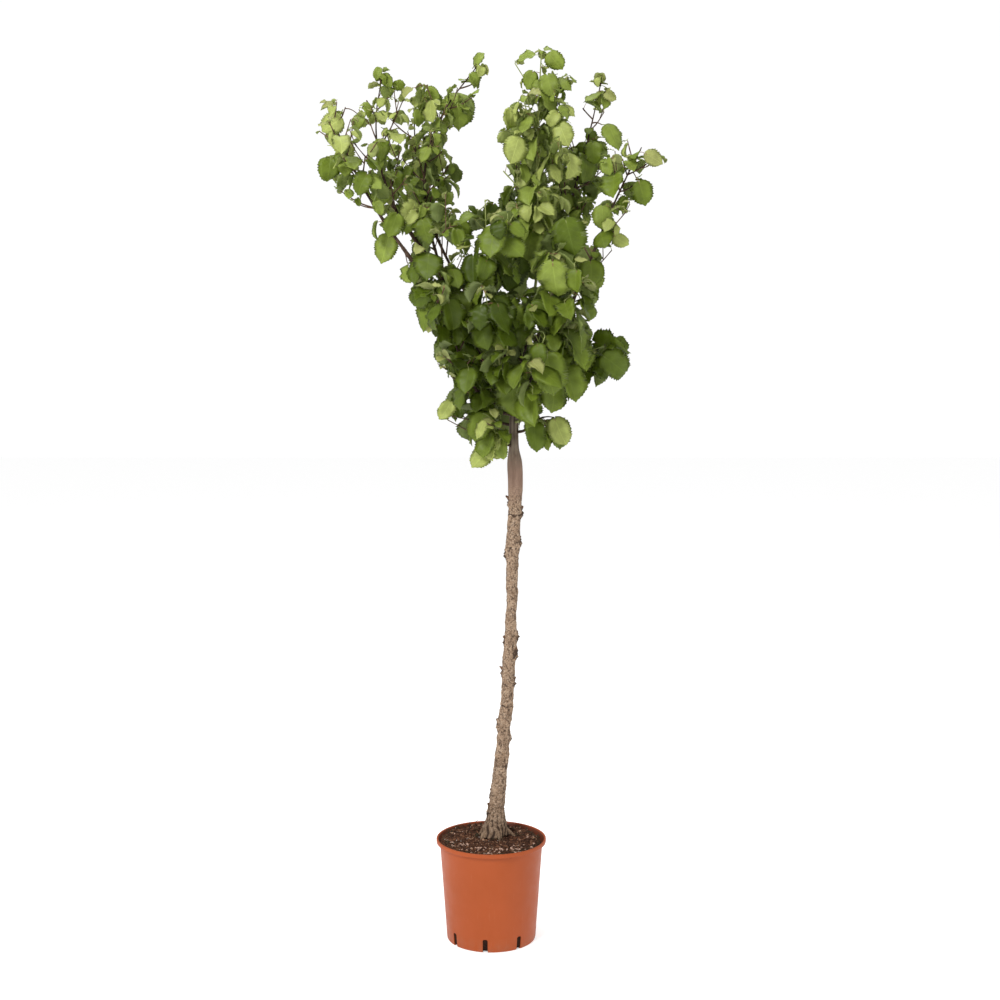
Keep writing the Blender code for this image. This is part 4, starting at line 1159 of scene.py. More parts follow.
def bark_relief(height, angle, radius):
    """(how far the bark stands out, in metres; its tone, from -1 in a hollow to 1 on a ridge, as painted
    shade and light).
    """
    place = Vector((math.cos(angle), math.sin(angle), 0)) * BARK_ROUND + UP * height
    lump = noise.noise(place * KNOT_LUMPS)
    reliefs = [grain_relief(place, height), root_relief(place, height, angle)]
    reliefs += [strand_relief(height, angle)]
    reliefs += [crack_relief(height, angle, number) for number in range(len(RING_CRACKS))]
    reliefs += [knot_relief(height, angle, radius, lump, knot) for knot in KNOTS]
    out, tone = (sum(parts) for parts in zip(*reliefs))
    return out, max(-1.0, min(1.0, tone))


def make_trunk(bark):
    """The trunk with its bark's relief, and a low dome on its top inside the crown."""
    heights = np.linspace(0, TRUNK_TOP, round(TRUNK_TOP / TRUNK_RING_STEP) + 1)
    stations = np.array(TRUNK)
    xs, ys, radii = (smooth_column(stations[:, 0], stations[:, k], heights) for k in (1, 2, 3))
    points, values = [], []

    def add_point(x, y, height, reach, angle, tone):
        points.append((x + reach * math.cos(angle), y + reach * math.sin(angle), GROUND + height))
        values.append(tone)

    for height, x, y, radius in zip(heights, xs, ys, radii):
        for angle in turns(TRUNK_RING_SIDES):
            out, tone = bark_relief(height, angle, radius)
            add_point(x, y, height, radius + out, angle, tone)
    for share, rise in TRUNK_DOME:
        for angle in turns(TRUNK_RING_SIDES):
            add_point(xs[-1], ys[-1], TRUNK_TOP + rise, radii[-1] * share, angle, 0.0)
    builder = Builder()
    faces = tube_faces(len(heights) + len(TRUNK_DOME), TRUNK_RING_SIDES)
    builder.add(points, faces, values=np.array(values))
    finish_piece(builder.link("trunk_bark", value_name="relief"), [bark], ["trunk"])


def make_roots(bark):
    """The surface roots, which run out from the flare and down into the compost."""
    roots = Builder()
    foot, _ = trunk_at(0)
    shares = np.linspace(0, 1, ROOT_STEPS)
    for i in range(ROOT_COUNT):
        angle = root_angle(i)
        reach = ROOT_REACH * (0.85 + 0.15 * math.cos(3.0 * i))
        outward = Vector((math.cos(angle), math.sin(angle), 0))
        side = Vector((-outward.y, outward.x, 0))
        controls = [
            foot + outward * 0.004 + UP * ROOT_RISE,
            foot + outward * reach * 0.50 + UP * ROOT_RISE * 0.42,
            foot + outward * reach * 0.80 + side * 0.003 * math.sin(i) + UP * 0.003,
            foot + outward * reach * 1.08 + side * 0.005 * math.sin(2 * i) - UP * 0.006,
        ]
        radii = ROOT_RADIUS * (0.72 - 0.42 * shares)
        add_tube(roots, spline(controls, shares), radii, ROOT_SIDES, wobble=ROOT_WOBBLE, seed=i)
    finish_piece(roots.link("surface_roots"), [bark])


def make_stubs(dead):
    """The stubs of pruned shoots, with uneven ends."""
    stubs = Builder()
    shares = np.linspace(0, 1, STUB_STEPS)
    for i, (height, azimuth, length, size) in enumerate(KNOTS):
        centre, radius = trunk_at(height)
        angle = math.radians(azimuth)
        outward = Vector((math.cos(angle), math.sin(angle), STUB_RISE)).normalized()
        start = centre + outward * (radius - STUB_INSET)
        tip = centre + outward * (radius + length * 0.85)
        path = spline([start, start.lerp(tip, 0.5) + UP * 0.0005, tip], shares)
        radii = STUB_SHARE * size * np.sqrt(1 - 0.92 * shares**2)
        add_tube(stubs, path, radii, STUB_SIDES, wobble=STUB_WOBBLE, seed=STUB_SEED + i)
    finish_piece(stubs.link("pruned_stubs"), [dead])


def smooth_column(xs, ys, at):
    """Values of a smooth curve through (xs, ys), with no overshoot, at the places at."""
    steps = np.diff(xs)
    slopes = np.diff(ys) / steps
    tangents = np.concatenate([[slopes[0]], (slopes[:-1] + slopes[1:]) / 2, [slopes[-1]]])
    turning = np.concatenate([[False], slopes[:-1] * slopes[1:] <= 0, [False]])
    tangents[turning] = 0
    i = np.clip(np.searchsorted(xs, at, side="right") - 1, 0, len(xs) - 2)
    t = (at - xs[i]) / steps[i]
    return (
        (2 * t**3 - 3 * t**2 + 1) * ys[i]
        + (t**3 - 2 * t**2 + t) * steps[i] * tangents[i]
        + (3 * t**2 - 2 * t**3) * ys[i + 1]
        + (t**3 - t**2) * steps[i] * tangents[i + 1]
    )


# ---------------------------------------------------------------- growth rule, as in the source


def tube_mesh(name, stations, sides):
    """A tapered limb with flat ends through (point, radius) stations, as a closed mesh."""
    section_curve = bpy.data.curves.new(f"{name}_section", "CURVE")
    section = section_curve.splines.new("POLY")
    section.points.add(sides - 1)
    section.use_cyclic_u = True
    for point, angle in zip(section.points, turns(sides)):
        point.co = (math.cos(angle), math.sin(angle), 0, 1)
    section_obj = bpy.data.objects.new(section_curve.name, section_curve)
    curve = bpy.data.curves.new(name, "CURVE")
    curve.dimensions = "3D"
    curve.bevel_mode = "OBJECT"
    curve.bevel_object = section_obj
    curve.use_fill_caps = True
    line = curve.splines.new("POLY")
    line.points.add(len(stations) - 1)
    for point, (place, radius) in zip(line.points, stations):
        point.co = (*place, 1)
        point.radius = radius
    bent = place_object(name, curve)
    graph = bpy.context.evaluated_depsgraph_get()
    mesh = bpy.data.meshes.new_from_object(bent.evaluated_get(graph))
    bpy.data.objects.remove(bent)
    bpy.data.objects.remove(section_obj)
    return mesh


def bent_path(start, tip, bend, count):
    """count points from start to tip, on an arc whose middle is moved by bend."""
    points = []
    for i in range(count):
        share = i / (count - 1)
        points.append(start.lerp(tip, share) + bend * (4 * share * (1 - share)))
    return points


def bough_stations(name):
    """(point, radius) from the trunk's axis to the bough's tip."""
    height, tip, bend, foot_radius, tip_radius = BOUGHS[name]
    path = bent_path(trunk_at(height)[0], Vector(tip), Vector(bend), BOUGH_STATIONS)
    steps = BOUGH_STATIONS - 1
    return [(p, foot_radius + (tip_radius - foot_radius) * i / steps) for i, p in enumerate(path)]


def stem_path(name):
    """The points of a mass's stem, from its bough's tip or the trunk to its own tip."""
    mass = MASSES[name]
    tip = Vector(mass.tip)
    if mass.carrier in BOUGHS:
        stations = bough_stations(mass.carrier)
        onward = (stations[-1][0] - stations[-2][0]).normalized()
        start = stations[-1][0] + onward * GAP
    else:
        centre, radius = trunk_at(mass.carrier)
        onward = (tip - centre) * Vector((1, 1, 0))
        onward = (onward.normalized() + UP * 0.25).normalized()
        start = centre + onward * (radius + STEM_RADIUS * 0.4 + GAP)
    lead = start + onward * (tip - start).length * STEM_LEAD
    return [start] + bent_path(lead, tip, Vector(mass.bend), STEM_STATIONS)


def nearest(path, point):
    """(distance, share along the path) of the place on the path nearest to a point."""
    best = (math.inf, 0.0)
    for i, (a, b) in enumerate(zip(path, path[1:])):
        run = b - a
        share = min(1.0, max(0.0, (point - a).dot(run) / run.length_squared))
        distance = (point - a - run * share).length
        if distance < best[0]:
            best = (distance, (i + share) / (len(path) - 1))
    return best


def space_radius(radii, share):
    """The radius of a mass's space, by its radius at the foot, the middle and the tip."""
    foot, middle, tip = radii
    back = 1 - share
    return foot * back * (1 - 2 * share) + middle * 4 * share * back + tip * share * (2 * share - 1)


def tree_of(mesh):
    """A mesh's faces, for finding what crosses them."""
    return BVHTree.FromPolygons([v.co for v in mesh.vertices], [p.vertices for p in mesh.polygons])


def ball_round(mesh):
    """The centre and radius of a ball that holds a mesh."""
    points = [v.co for v in mesh.vertices]
    centre = sum(points, Vector()) / len(points)
    return centre, max((point - centre).length for point in points)


class Room:
    """What a new twig or leaf may fill: its mass's own space, clear of all that has grown."""

    def __init__(self, limbs):
        self.paths = {name: stem_path(name) for name in MASSES}
        self.limbs = [tree_of(limb.data) for limb in limbs]
        self.grown = []

    def share(self, name, point):
        """How far out in a mass's space a point is, where 1 is the edge."""
        distance, along = nearest(self.paths[name], point)
        return distance / space_radius(MASSES[name].radii, along)

    def within(self, name, point):
        """True where a point is in the mass's space, and further in than in any other's."""
        own = self.share(name, point)
        return own < 1 and all(self.share(other, point) > own * 1.02 for other in MASSES if other != name)

    def clear_of_limbs(self, point, distance):
        return all(tree.find_nearest(point, distance)[0] is None for tree in self.limbs)

    def crossed(self, mesh):
        """True where a mesh crosses a limb, or a twig or leaf that has grown."""
        tree = tree_of(mesh)
        centre, radius = ball_round(mesh)
        near = [other for place, reach, other in self.grown if (place - centre).length < reach + radius]
        return any(tree.overlap(other) for other in self.limbs + near)

    def keep(self, mesh):
        """Notes a twig or leaf that has grown."""
        self.grown.append((*ball_round(mesh), tree_of(mesh)))


def across(direction):
    """A unit vector at right angles to a direction."""
    other = UP if abs(direction.z) < 0.9 else Vector((1, 0, 0))
    return direction.cross(other).normalized()


def along_path(path, share):
    """The point and direction at a share of a path's length."""
    place = share * (len(path) - 1)
    i = min(len(path) - 2, int(place))
    run = path[i + 1] - path[i]
    return path[i] + run * (place - i), run.normalized()


def length_of(path):
    return sum((b - a).length for a, b in zip(path, path[1:]))


class Leaf:
    """One leaf: its root, the end of its stalk, the directions of its blade and side, its length."""

    def __init__(self, root, neck, blade, side, length):
        self.root = root
        self.neck = neck
        self.blade = blade
        self.side = side
        self.normal = side.cross(blade).normalized()
        self.length = length

    def at(self, along, width=0.0):
        """A point of the blade: along it, and out to a side by a share of its half width."""
        droop = self.normal * (BLADE_ARCH * self.length * along * along)
        return self.neck + (self.blade * along + self.side * (width * LEAF_WIDTH / 2)) * self.length - droop

    def outline(self):
        """The neck, the tip and the edges of the blade."""
        edges = [self.at(along, width * turn) for along, width in BLADE_SECTIONS for turn in (1, -1)]
        return [self.neck, self.at(1.0)] + edges

    def mesh(self, name, first=0.0):
        """The leaf as a three-sided loft, for finding what it crosses."""
        root = self.root.lerp(self.neck, first)
        stalk = (self.neck - self.root).normalized()
        side = self.side - stalk * self.side.dot(stalk)
        side = side.normalized() if side.length > 0.05 else across(stalk)
        section = [side * STALK_RADIUS, -side * STALK_RADIUS, stalk.cross(side) * STALK_RADIUS * 1.2]
        keel = -self.normal * (LEAF_THICKNESS * self.length)
        rings = [[root + point for point in section], [self.neck + point * 1.4 for point in section]]
        for along, width in BLADE_SECTIONS:
            rings.append((self.at(along, width), self.at(along, -width), self.at(along) + keel))
        points = [point for ring in rings for point in ring] + [self.at(1.0)]
        faces = [(0, 1, 2)]
        for i in range(len(rings) - 1):
            for k in range(3):
                a, b = 3 * i + k, 3 * i + (k + 1) % 3
                faces += [(a, a + 3, b + 3), (a, b + 3, b)]
        end = 3 * len(rings) - 3
        faces += [(end + k, len(points) - 1, end + (k + 1) % 3) for k in range(3)]
        return mesh_of(name, points, faces)


def set_off(rng, path, share, turn, lean, spread):
    """A side shoot's foot at a share of a path, the way out from it there, and its heading."""
    foot, onward = along_path(path, share)
    outward = Matrix.Rotation(turn, 3, onward) @ across(onward)
    lean *= rng.uniform(*spread)
    return foot, outward, (onward * math.cos(lean) + outward * math.sin(lean)).normalized()


def rising_path(foot, heading, reach):
    """A side twig's path from its foot, which turns up a little."""
    rise = UP * (TWIG_RISE * reach)
    return bent_path(foot, foot + heading * reach + rise, -rise * 0.25, TWIG_STATIONS)


def grow_leaf(rng, path, share, turn, length):
    """A leaf at a share of a twig, turned about it, with a blade that hangs unless it is young."""
    root, outward, stalk = set_off(rng, path, share, turn, LEAF_LEAN, LEAF_LEANS)
    neck = root + stalk * (LEAF_STALK * length * rng.uniform(*LEAF_STALKS))
    level = stalk * Vector((1, 1, 0))
    if level.length < 0.1:
        level = outward * Vector((1, 1, 0))
    hang = math.radians(rng.uniform(*(YOUNG_HANG if share > YOUNG_SHARE else LEAF_HANG)))
    blade = level.normalized() * math.cos(hang) - UP * math.sin(hang)
    roll = math.radians(rng.uniform(-LEAF_ROLL, LEAF_ROLL))
    side = Matrix.Rotation(roll, 3, blade) @ blade.cross(UP).normalized()
    return Leaf(root, neck, blade, side, length)


def leaf_places(rng, path, first, longest, spacing):
    """(share, turn, length) for each leaf of a twig, each turned on from the last."""
    count = max(2, round(length_of(path) * (1 - first) / spacing))
    turn = rng.uniform(0, math.tau)
    for i in range(count):
        share = min(TIP_SHARE, first + (TIP_SHARE - first) * (i + 0.7) / (count - 0.3))
        turn += LEAF_TURN
        yield share, turn, longest * (1 - (1 - TIP_LEAF) * share**4) * rng.uniform(*LEAF_SPREAD)


def grow_leaves(rng, room, name, path, first, longest):
    """The leaves of one twig, as (leaf, share along the twig)."""
    leaves = []
    for share, turn, length in leaf_places(rng, path, first, longest, LEAF_SPACING):
        for attempt in range(LEAF_TRIES):
            leaf = grow_leaf(rng, path, share, turn + LEAF_RETRY_TURN * attempt, length)
            length *= LEAF_RETRY_SIZE
            inside = all(room.within(name, point) for point in leaf.outline())
            if inside and not room.crossed(leaf.mesh("blade", 0.35)):
                leaves.append((leaf, share))
                room.keep(leaf.mesh("kept_leaf"))
                break
    return leaves


def grow_twig(rng, room, name, share, turn):
    """A side twig of a mass's stem, cut short until it fits, or None."""
    foot, _, heading = set_off(rng, room.paths[name], share, turn, TWIG_LEAN, TWIG_LEANS)
    reach = space_radius(MASSES[name].radii, share) * rng.uniform(*TWIG_REACH)
    while reach > SHORTEST_TWIG:
        path = rising_path(foot, heading, reach)
        taper = (TWIG_TIP_RADIUS - TWIG_RADIUS) / (TWIG_STATIONS - 1)
        stations = [(point, TWIG_RADIUS + taper * i) for i, point in enumerate(path)]
        clear = all(room.clear_of_limbs(point, LIMB_CLEARANCE) for point in path[1:])
        if clear and all(room.within(name, point) for point in path[1:]):
            if not room.crossed(tube_mesh("shoot", stations[1:], 3)):
                return stations
        reach *= TWIG_RETRY
    return None


class Twig:
    """A twig: its path, where it stands on its parent twig, its rank and its leaves."""

    def __init__(self, path, parent=None, share=0.0):
        self.path = path
        self.parent = parent
        self.share = share
        self.rank = 0 if parent is None else min(2, parent.rank + 1)  # stem, twig or spur
        self.bare = STEM_BARE if parent is None else TWIG_BARE
        self.leaves = []  # by the source's rule, as (leaf, share along the twig)
        self.shapes = []  # as drawn

    def drawn(self, shares):
        """Points of the twig as drawn: a smooth curve that starts on its drawn parent."""
        path = [Vector(p) for p in self.path]
        if self.parent is not None:
            path[0] = Vector(self.parent.drawn([self.share])[0])
        return spline(path, shares)


def grow_masses(room):
    """For each mass its twigs with their leaves, the first of them its stem."""
    masses = {}
    low, high = TWIG_FEET
    for name, mass in MASSES.items():
        rng = random.Random(mass.seed)
        stem = room.paths[name]
        taper = (STEM_TIP_RADIUS - STEM_RADIUS) / (len(stem) - 1)
        stations = [[(point, STEM_RADIUS + taper * i) for i, point in enumerate(stem)]]
        twigs = [Twig(stem)]
        count = max(1, round(length_of(stem) / TWIG_SPACING))
        turn = rng.uniform(0, math.tau)
        for i in range(count):
            turn += TWIG_TURN
            share = low + (high - low) * (i + rng.uniform(0.2, 0.8)) / count
            twig = grow_twig(rng, room, name, share, turn)
            if twig:
                stations.append(twig)
                twigs.append(Twig([point for point, _ in twig], twigs[0], share))
        for twig in stations:
            room.keep(tube_mesh(f"{name}_twig", twig, 3))
        masses[name] = twigs
    for name, mass in MASSES.items():
        rng = random.Random(mass.seed + LEAF_SEED)
        for twig in masses[name]:
            twig.leaves += grow_leaves(rng, room, name, twig.path, twig.bare, mass.longest)
    return masses


# ---------------------------------------------------------------- drawn leaves


def inside_edge(points):
    """Which of an (n, 3) array of points stand inside the crown's edge, seen from the front."""
    eye = np.array(CAMERA_PLACE)
    reach = -eye[1] / (points[:, 1] - eye[1])
    x = eye[0] + (points[:, 0] - eye[0]) * reach
    z = eye[2] + (points[:, 2] - eye[2]) * reach
    edge = np.array(CROWN_EDGE)
    here, ahead = edge[:, :, None], np.roll(edge, -1, axis=0)[:, :, None]
    spans = (here[:, 1] > z) != (ahead[:, 1] > z)
    rise = ahead[:, 1] - here[:, 1]
    slope = (ahead[:, 0] - here[:, 0]) / np.where(rise == 0, 1, rise)
    crossed = spans & (x < here[:, 0] + (z - here[:, 1]) * slope)
    gaps = np.array(CROWN_GAPS)[:, :, None]
    apart = np.hypot(x - gaps[:, 0], z - gaps[:, 1])
    return (crossed.sum(axis=0) % 2 == 1) & (apart > gaps[:, 2]).all(axis=0)


class BladeGrid:
    """The rows and columns of a blade with so many teeth a side, shared by leaves of one size."""

    def __init__(self, teeth):
        rows, columns = 2 * teeth + 1, len(BLADE_COLUMNS)
        self.along = np.linspace(0, 1, rows)
        outline = np.array(BLADE_OUTLINE)
        self.width = smooth_column(outline[:, 0], outline[:, 1], self.along)
        self.tooth = np.where(np.arange(rows) % 2 == 1, 1.0, -1.0)
        self.tooth[[0, -1]] = 0
        upper = np.arange(rows * columns).reshape(rows, columns)
        under = upper.copy()
        under[:, 1:-1] = rows * columns + np.arange(rows * (columns - 2)).reshape(rows, columns - 2)
        self.upper = quads(upper).tolist()
        self.faces = self.upper + quads(under)[:, ::-1].tolist()
        self.slots = [0] * len(self.upper) + [1] * len(self.upper)
        for row, turn in ((0, -1), (-1, 1)):
            ring = upper[row].tolist() + under[row][-2:0:-1].tolist()
            self.faces.append(ring[::turn])
            self.slots.append(1)


GRIDS = {teeth: BladeGrid(teeth) for teeth in range(FEWEST_TEETH, MOST_TEETH + 1)}


def grid_for(length):
    """The grid for a leaf of this length, with teeth of about one size on all leaves."""
    return GRIDS[min(MOST_TEETH, max(FEWEST_TEETH, round(length / TOOTH_LENGTH)))]


def blade_points(grid, leaf, rng):
    """The points and uvs of a drawn blade: folded on its midrib, arched, waved and pleated."""
    s = np.array(BLADE_COLUMNS)[None, :]
    outward, along = np.abs(s), grid.along[:, None]
    margin = outward == 1
    teeth = grid.tooth * np.array([rng.uniform(*TOOTH_SPREAD) for _ in grid.along])
    reach = s * grid.width[:, None] * (1 + margin * TOOTH_DEPTH * teeth[:, None])
    lobe = -BLADE_LOBE * np.clip(1 - along / LOBE_END, 0, 1) * outward**1.5
    ahead = (lobe + margin * np.clip(teeth, 0, 1)[:, None] * 0.35 / len(grid.along)) * leaf.length
    half = BLADE_WIDTH / 2 * leaf.length * rng.uniform(*BLADE_WIDTH_SPREAD)
    fold = math.radians(rng.uniform(*BLADE_FOLD))
    phase = np.where(s < 0, rng.uniform(0, math.tau), rng.uniform(0, math.tau))
    wave = np.sin(math.tau * rng.uniform(*BLADE_WAVES) * along + phase) * rng.uniform(*BLADE_WAVE_DEPTHS)
    out_share = np.abs(reach)
    pleat = np.cos(math.tau * (VEIN_PAIRS * (along - PLEAT_LEAN * out_share) + VEIN_START))
    pleat = pleat * out_share * (1.15 - out_share) * -PLEAT_DEPTH
    out = reach * half * math.cos(fold)
    lift = out_share * half * math.sin(fold) + (wave * reach**2 + pleat) * leaf.length
    twist = rng.uniform(-BLADE_TWIST, BLADE_TWIST) * along**1.3
    out, lift = out * np.cos(twist) - lift * np.sin(twist), lift * np.cos(twist) + out * np.sin(twist)
    out = out + rng.uniform(-BLADE_SWEEP, BLADE_SWEEP) * leaf.length * along**2
    bend = rng.uniform(*BLADE_BEND) * grid.along**1.2
    middles = (bend[1:] + bend[:-1]) / 2
    step = leaf.length / len(middles)
    run = np.concatenate([[0], np.cumsum(np.cos(middles))]) * step
    drop = np.concatenate([[0], np.cumsum(np.sin(middles))]) * step
    blade, side, normal = array_of((leaf.blade, leaf.side, leaf.normal))
    onward = np.outer(np.cos(bend), blade) - np.outer(np.sin(bend), normal)
    upward = np.outer(np.cos(bend), normal) + np.outer(np.sin(bend), blade)
    spine = np.array(leaf.neck) + np.outer(run, blade) - np.outer(drop, normal)
    upper = spine[:, None] + ahead[..., None] * onward[:, None] + out[..., None] * side
    upper = upper + lift[..., None] * upward[:, None]
    under = upper[:, 1:-1] - upward[:, None] * BLADE_THICKNESS
    uv = np.stack([0.5 + reach / 2, np.broadcast_to(along, reach.shape)], axis=-1)
    points = np.concatenate([upper.reshape(-1, 3), under.reshape(-1, 3)])
    return points, np.concatenate([uv.reshape(-1, 2), uv[:, 1:-1].reshape(-1, 2)])


def ball_of(points):
    """The centre and radius of a ball that holds an (n, 3) array of points, as four numbers."""
    centre = points.mean(axis=0)
    return np.array((*centre, np.linalg.norm(points - centre, axis=1).max()))


class Drawn:
    """The wood and the blades drawn so far, so that no blade passes through another."""

    def __init__(self, room):
        self.limbs = room.limbs
        self.balls = np.zeros((MOST_DRAWN, 4))
        self.trees = []

    def fits(self, points, faces):
        """The blade's tree and ball where it keeps inside the box and crosses nothing, or None."""
        if (points < np.array(CAD_LOW)).any() or (points > np.array(CAD_HIGH)).any():
            return None
        tree, ball = BVHTree.FromPolygons(points.tolist(), faces), ball_of(points)
        there = self.balls[: len(self.trees)]
        apart = np.linalg.norm(there[:, :3] - ball[:3], axis=1)
        near = [self.trees[i] for i in np.nonzero(apart < there[:, 3] + ball[3])[0]]
        return None if any(tree.overlap(other) for other in self.limbs + near) else (tree, ball)

    def keep(self, tree, ball):
        self.balls[len(self.trees)] = ball
        self.trees.append(tree)

    def keep_twig(self, path, radius):
        """Notes a twig's path as a thin three-sided tube."""
        path = array_of(path)
        a, b = frames_along(path)
        ring = [path + radius * (math.cos(t) * a + math.sin(t) * b) for t in (0, 2.1, 4.2)]
        points = np.stack(ring, axis=1).reshape(-1, 3)
        faces = quads(closed_rings(0, len(path), 3)).tolist()
        self.keep(BVHTree.FromPolygons(points.tolist(), faces), ball_of(points))


def smaller(leaf, share):
    """A leaf cut down to a share of its length, on a shorter stalk."""
    neck = leaf.root.lerp(leaf.neck, 0.3 + 0.7 * share)
    return Leaf(leaf.root, neck, leaf.blade, leaf.side, leaf.length * share)


def draw_leaf(drawn, leaf, rng, inside, tries=BLADE_TRIES):
    """(leaf, grid, points, uvs) of a leaf where it has room, or None.

    At least the share inside of the blade stands inside the crown's edge, if need be smaller.
    """
    for _ in range(tries):
        grid = grid_for(leaf.length)
        points, uvs = blade_points(grid, leaf, rng)
        if inside_edge(points).mean() >= inside:
            found = drawn.fits(points, grid.upper)
            if found:
                drawn.keep(*found)
                return leaf, grid, points, uvs
        leaf = smaller(leaf, BLADE_RETRY_SIZE)
    return None


# ---------------------------------------------------------------- finer growth


def twig_for_blade(masses, neck, length):
    """(mass, twig, share) for a blade: the nearest twig, or a shoot of its own from it."""
    twigs = [(*nearest(t.path, neck), name, i) for name, ts in masses.items() for i, t in enumerate(ts)]
    distance, share, name, i = min(twigs)
    twig = masses[name][i]
    if distance <= length * KEY_STALK:
        return name, twig, share
    foot, _ = along_path(twig.path, share)
    end = neck + (foot - neck).normalized() * (length * KEY_SHOOT_END)
    rise = UP * (KEY_SHOOT_RISE * (end - foot).length)
    return name, Twig(bent_path(foot, end, rise * 0.6, 4), twig, share), 1.0


def grow_key_leaves(drawn, masses):
    """The leaves that stand out, each moved towards the viewer or away until it has room."""
    eye = Vector(CAMERA_PLACE)
    for number, (x, z, y, heading, roll, length) in enumerate(KEY_LEAVES):
        rng = random.Random(KEY_SEED + number)
        heading = math.radians(heading)
        blade = Vector((math.sin(heading), rng.uniform(*KEY_PITCH), -math.cos(heading))).normalized()
        turn = Matrix.Rotation(math.radians(roll) * rng.choice((-1, 1)), 3, blade)
        side = turn @ blade.cross(Vector((0, -1, 0))).normalized()
        for shift in KEY_SHIFTS:
            place = eye + (Vector((x, 0, z)) - eye) * ((eye.y - y - shift) / eye.y)
            neck = place - blade * (length / 2)
            name, twig, share = twig_for_blade(masses, neck, length)
            root = Vector(twig.drawn([share])[0])
            shape = draw_leaf(drawn, Leaf(root, neck, blade, side, length), rng, 0.0, 2)
            if shape:
                if twig not in masses[name]:
                    masses[name].append(twig)
                twig.shapes.append((shape, share))
                break


def draw_source_leaves(drawn, masses):
    """The leaves that the source's rule has grown, where the crown isn't open."""
    for name, twigs in masses.items():
        rng = random.Random(MASSES[name].seed + DRAWN_SEED)
        for twig in twigs:
            for leaf, share in twig.leaves:
                leaf = smaller(leaf, np.interp(leaf.neck.z, HEIGHTS, HEIGHT_SHARES))
                shape = draw_leaf(drawn, leaf, rng, EDGE_SHARE)
                if shape:
                    twig.shapes.append((shape, share))


def grow_spur(rng, room, name, parent, share, turn):
    """A short shoot on a twig, or None where there is no room for one."""
    foot, _, heading = set_off(rng, parent.path, share, turn, TWIG_LEAN, SPUR_LEANS)
    path = rising_path(foot, heading, rng.uniform(*SPUR_REACH))
    if not all(room.within(name, point) for point in path[1:]):
        return None
    if not inside_edge(array_of(path[1:])).all():
        return None
    above_foot = [path[0].lerp(path[1], 0.3)] + path[1:]
    tree = tree_of(tube_mesh("spur", [(point, SPUR_RADIUS) for point in above_foot], 3))
    return None if any(tree.overlap(limb) for limb in room.limbs) else Twig(path, parent, share)


def fill_twig(rng, room, drawn, name, twig, first, longest, spacing):
    """More leaves on a twig, by the same rule, where nothing drawn is in their way."""
    for share, turn, length in leaf_places(rng, twig.path, first, longest, spacing):
        length *= np.interp(along_path(twig.path, share)[0].z, HEIGHTS, HEIGHT_SHARES)
        for attempt in range(LEAF_TRIES):
            leaf = grow_leaf(rng, twig.path, share, turn + LEAF_RETRY_TURN * attempt, length)
            length *= LEAF_RETRY_SIZE
            spin = Matrix.Rotation(rng.uniform(-FILL_SPIN, FILL_SPIN), 3, leaf.normal)
            leaf = Leaf(leaf.root, leaf.neck, spin @ leaf.blade, spin @ leaf.side, leaf.length)
            if all(room.within(name, point) for point in leaf.outline()[:2]):
                shape = draw_leaf(drawn, leaf, rng, FILL_INSIDE, 1)
                if shape:
                    twig.shapes.append((shape, share))
                    break


def grow_spurs(rng, room, name, twig):
    """The spurs of one stem or twig."""
    low, high = SPUR_FEET
    count = round(length_of(twig.path) / SPUR_SPACING)
    turn = rng.uniform(0, math.tau)
    spurs = []
    for i in range(count):
        turn += TWIG_TURN
        share = low + (high - low) * (i + rng.uniform(0.1, 0.9)) / count
        spurs.append(grow_spur(rng, room, name, twig, share, turn))
    return [spur for spur in spurs if spur]


def grow_finer(room, drawn, masses):
    """Spurs on every stem and twig, then smaller leaves on the spurs and in the gaps left."""
    for name, mass in MASSES.items():
        rng = random.Random(mass.seed + FINER_SEED)
        spurs = [spur for twig in masses[name] for spur in grow_spurs(rng, room, name, twig)]
        for spur in spurs:
            longest = mass.longest * SPUR_LEAF
            fill_twig(rng, room, drawn, name, spur, SPUR_BARE, longest, SPUR_LEAF_SPACING)
        for twig in masses[name]:
            for size in FILL_LEAVES:
                fill_twig(rng, room, drawn, name, twig, twig.bare, mass.longest * size, LEAF_SPACING)
        masses[name] += [spur for spur in spurs if spur.shapes]


# ---------------------------------------------------------------- the crown, drawn

TIP_SPRAYS = 0.62  # from here on the sprays are the tip's
YOUNG_SPURS = 0.3  # the share of the spurs below it that have the younger tint
YOUNG_LEAVES, YOUNG_LEAF_LENGTH = 0.4, 0.04  # the share of leaves at tips that are young, and small
RED_STALKS = 0.35
GREEN_SHOOTS = {"foliage_top", "foliage_front", "foliage_low_front"}


def spray_tints(rng, name, twig):
    """The tints of a twig's leaves: near its foot, and near its tip."""
    older, younger = MASSES[name].tints
    if twig.parent is not None and (
        twig.share > TIP_SPRAYS or twig.rank == 2 and rng.random() < YOUNG_SPURS
    ):
        older = younger
    elif twig.parent is not None:
        younger = older
    order = list(TINTS)
    slip = rng.choice((-1, -1, 0, 0, 1))
    return [order[min(len(order) - 2, max(0, order.index(tint) + slip))] for tint in (older, younger)]


def add_stalk(builder, root, leaf, slot):
    """The leaf's stalk, bent a little, from its twig to a little way under the blade."""
    root, neck = np.array(root), np.array(leaf.neck)
    into = neck + np.array(leaf.blade) * (0.10 * leaf.length) - np.array(leaf.normal) * 0.0006
    middle = (root + neck) / 2 + np.array([0, 0, 0.07 * np.linalg.norm(neck - root)])
    thick = STALK_DRAWN_RADIUS * min(1.1, 0.55 + leaf.length * 7)
    path = spline([root, middle, neck, into], np.linspace(0, 1, 7))
    add_tube(builder, path, thick * np.array(STALK_TAPER), 4, slot)


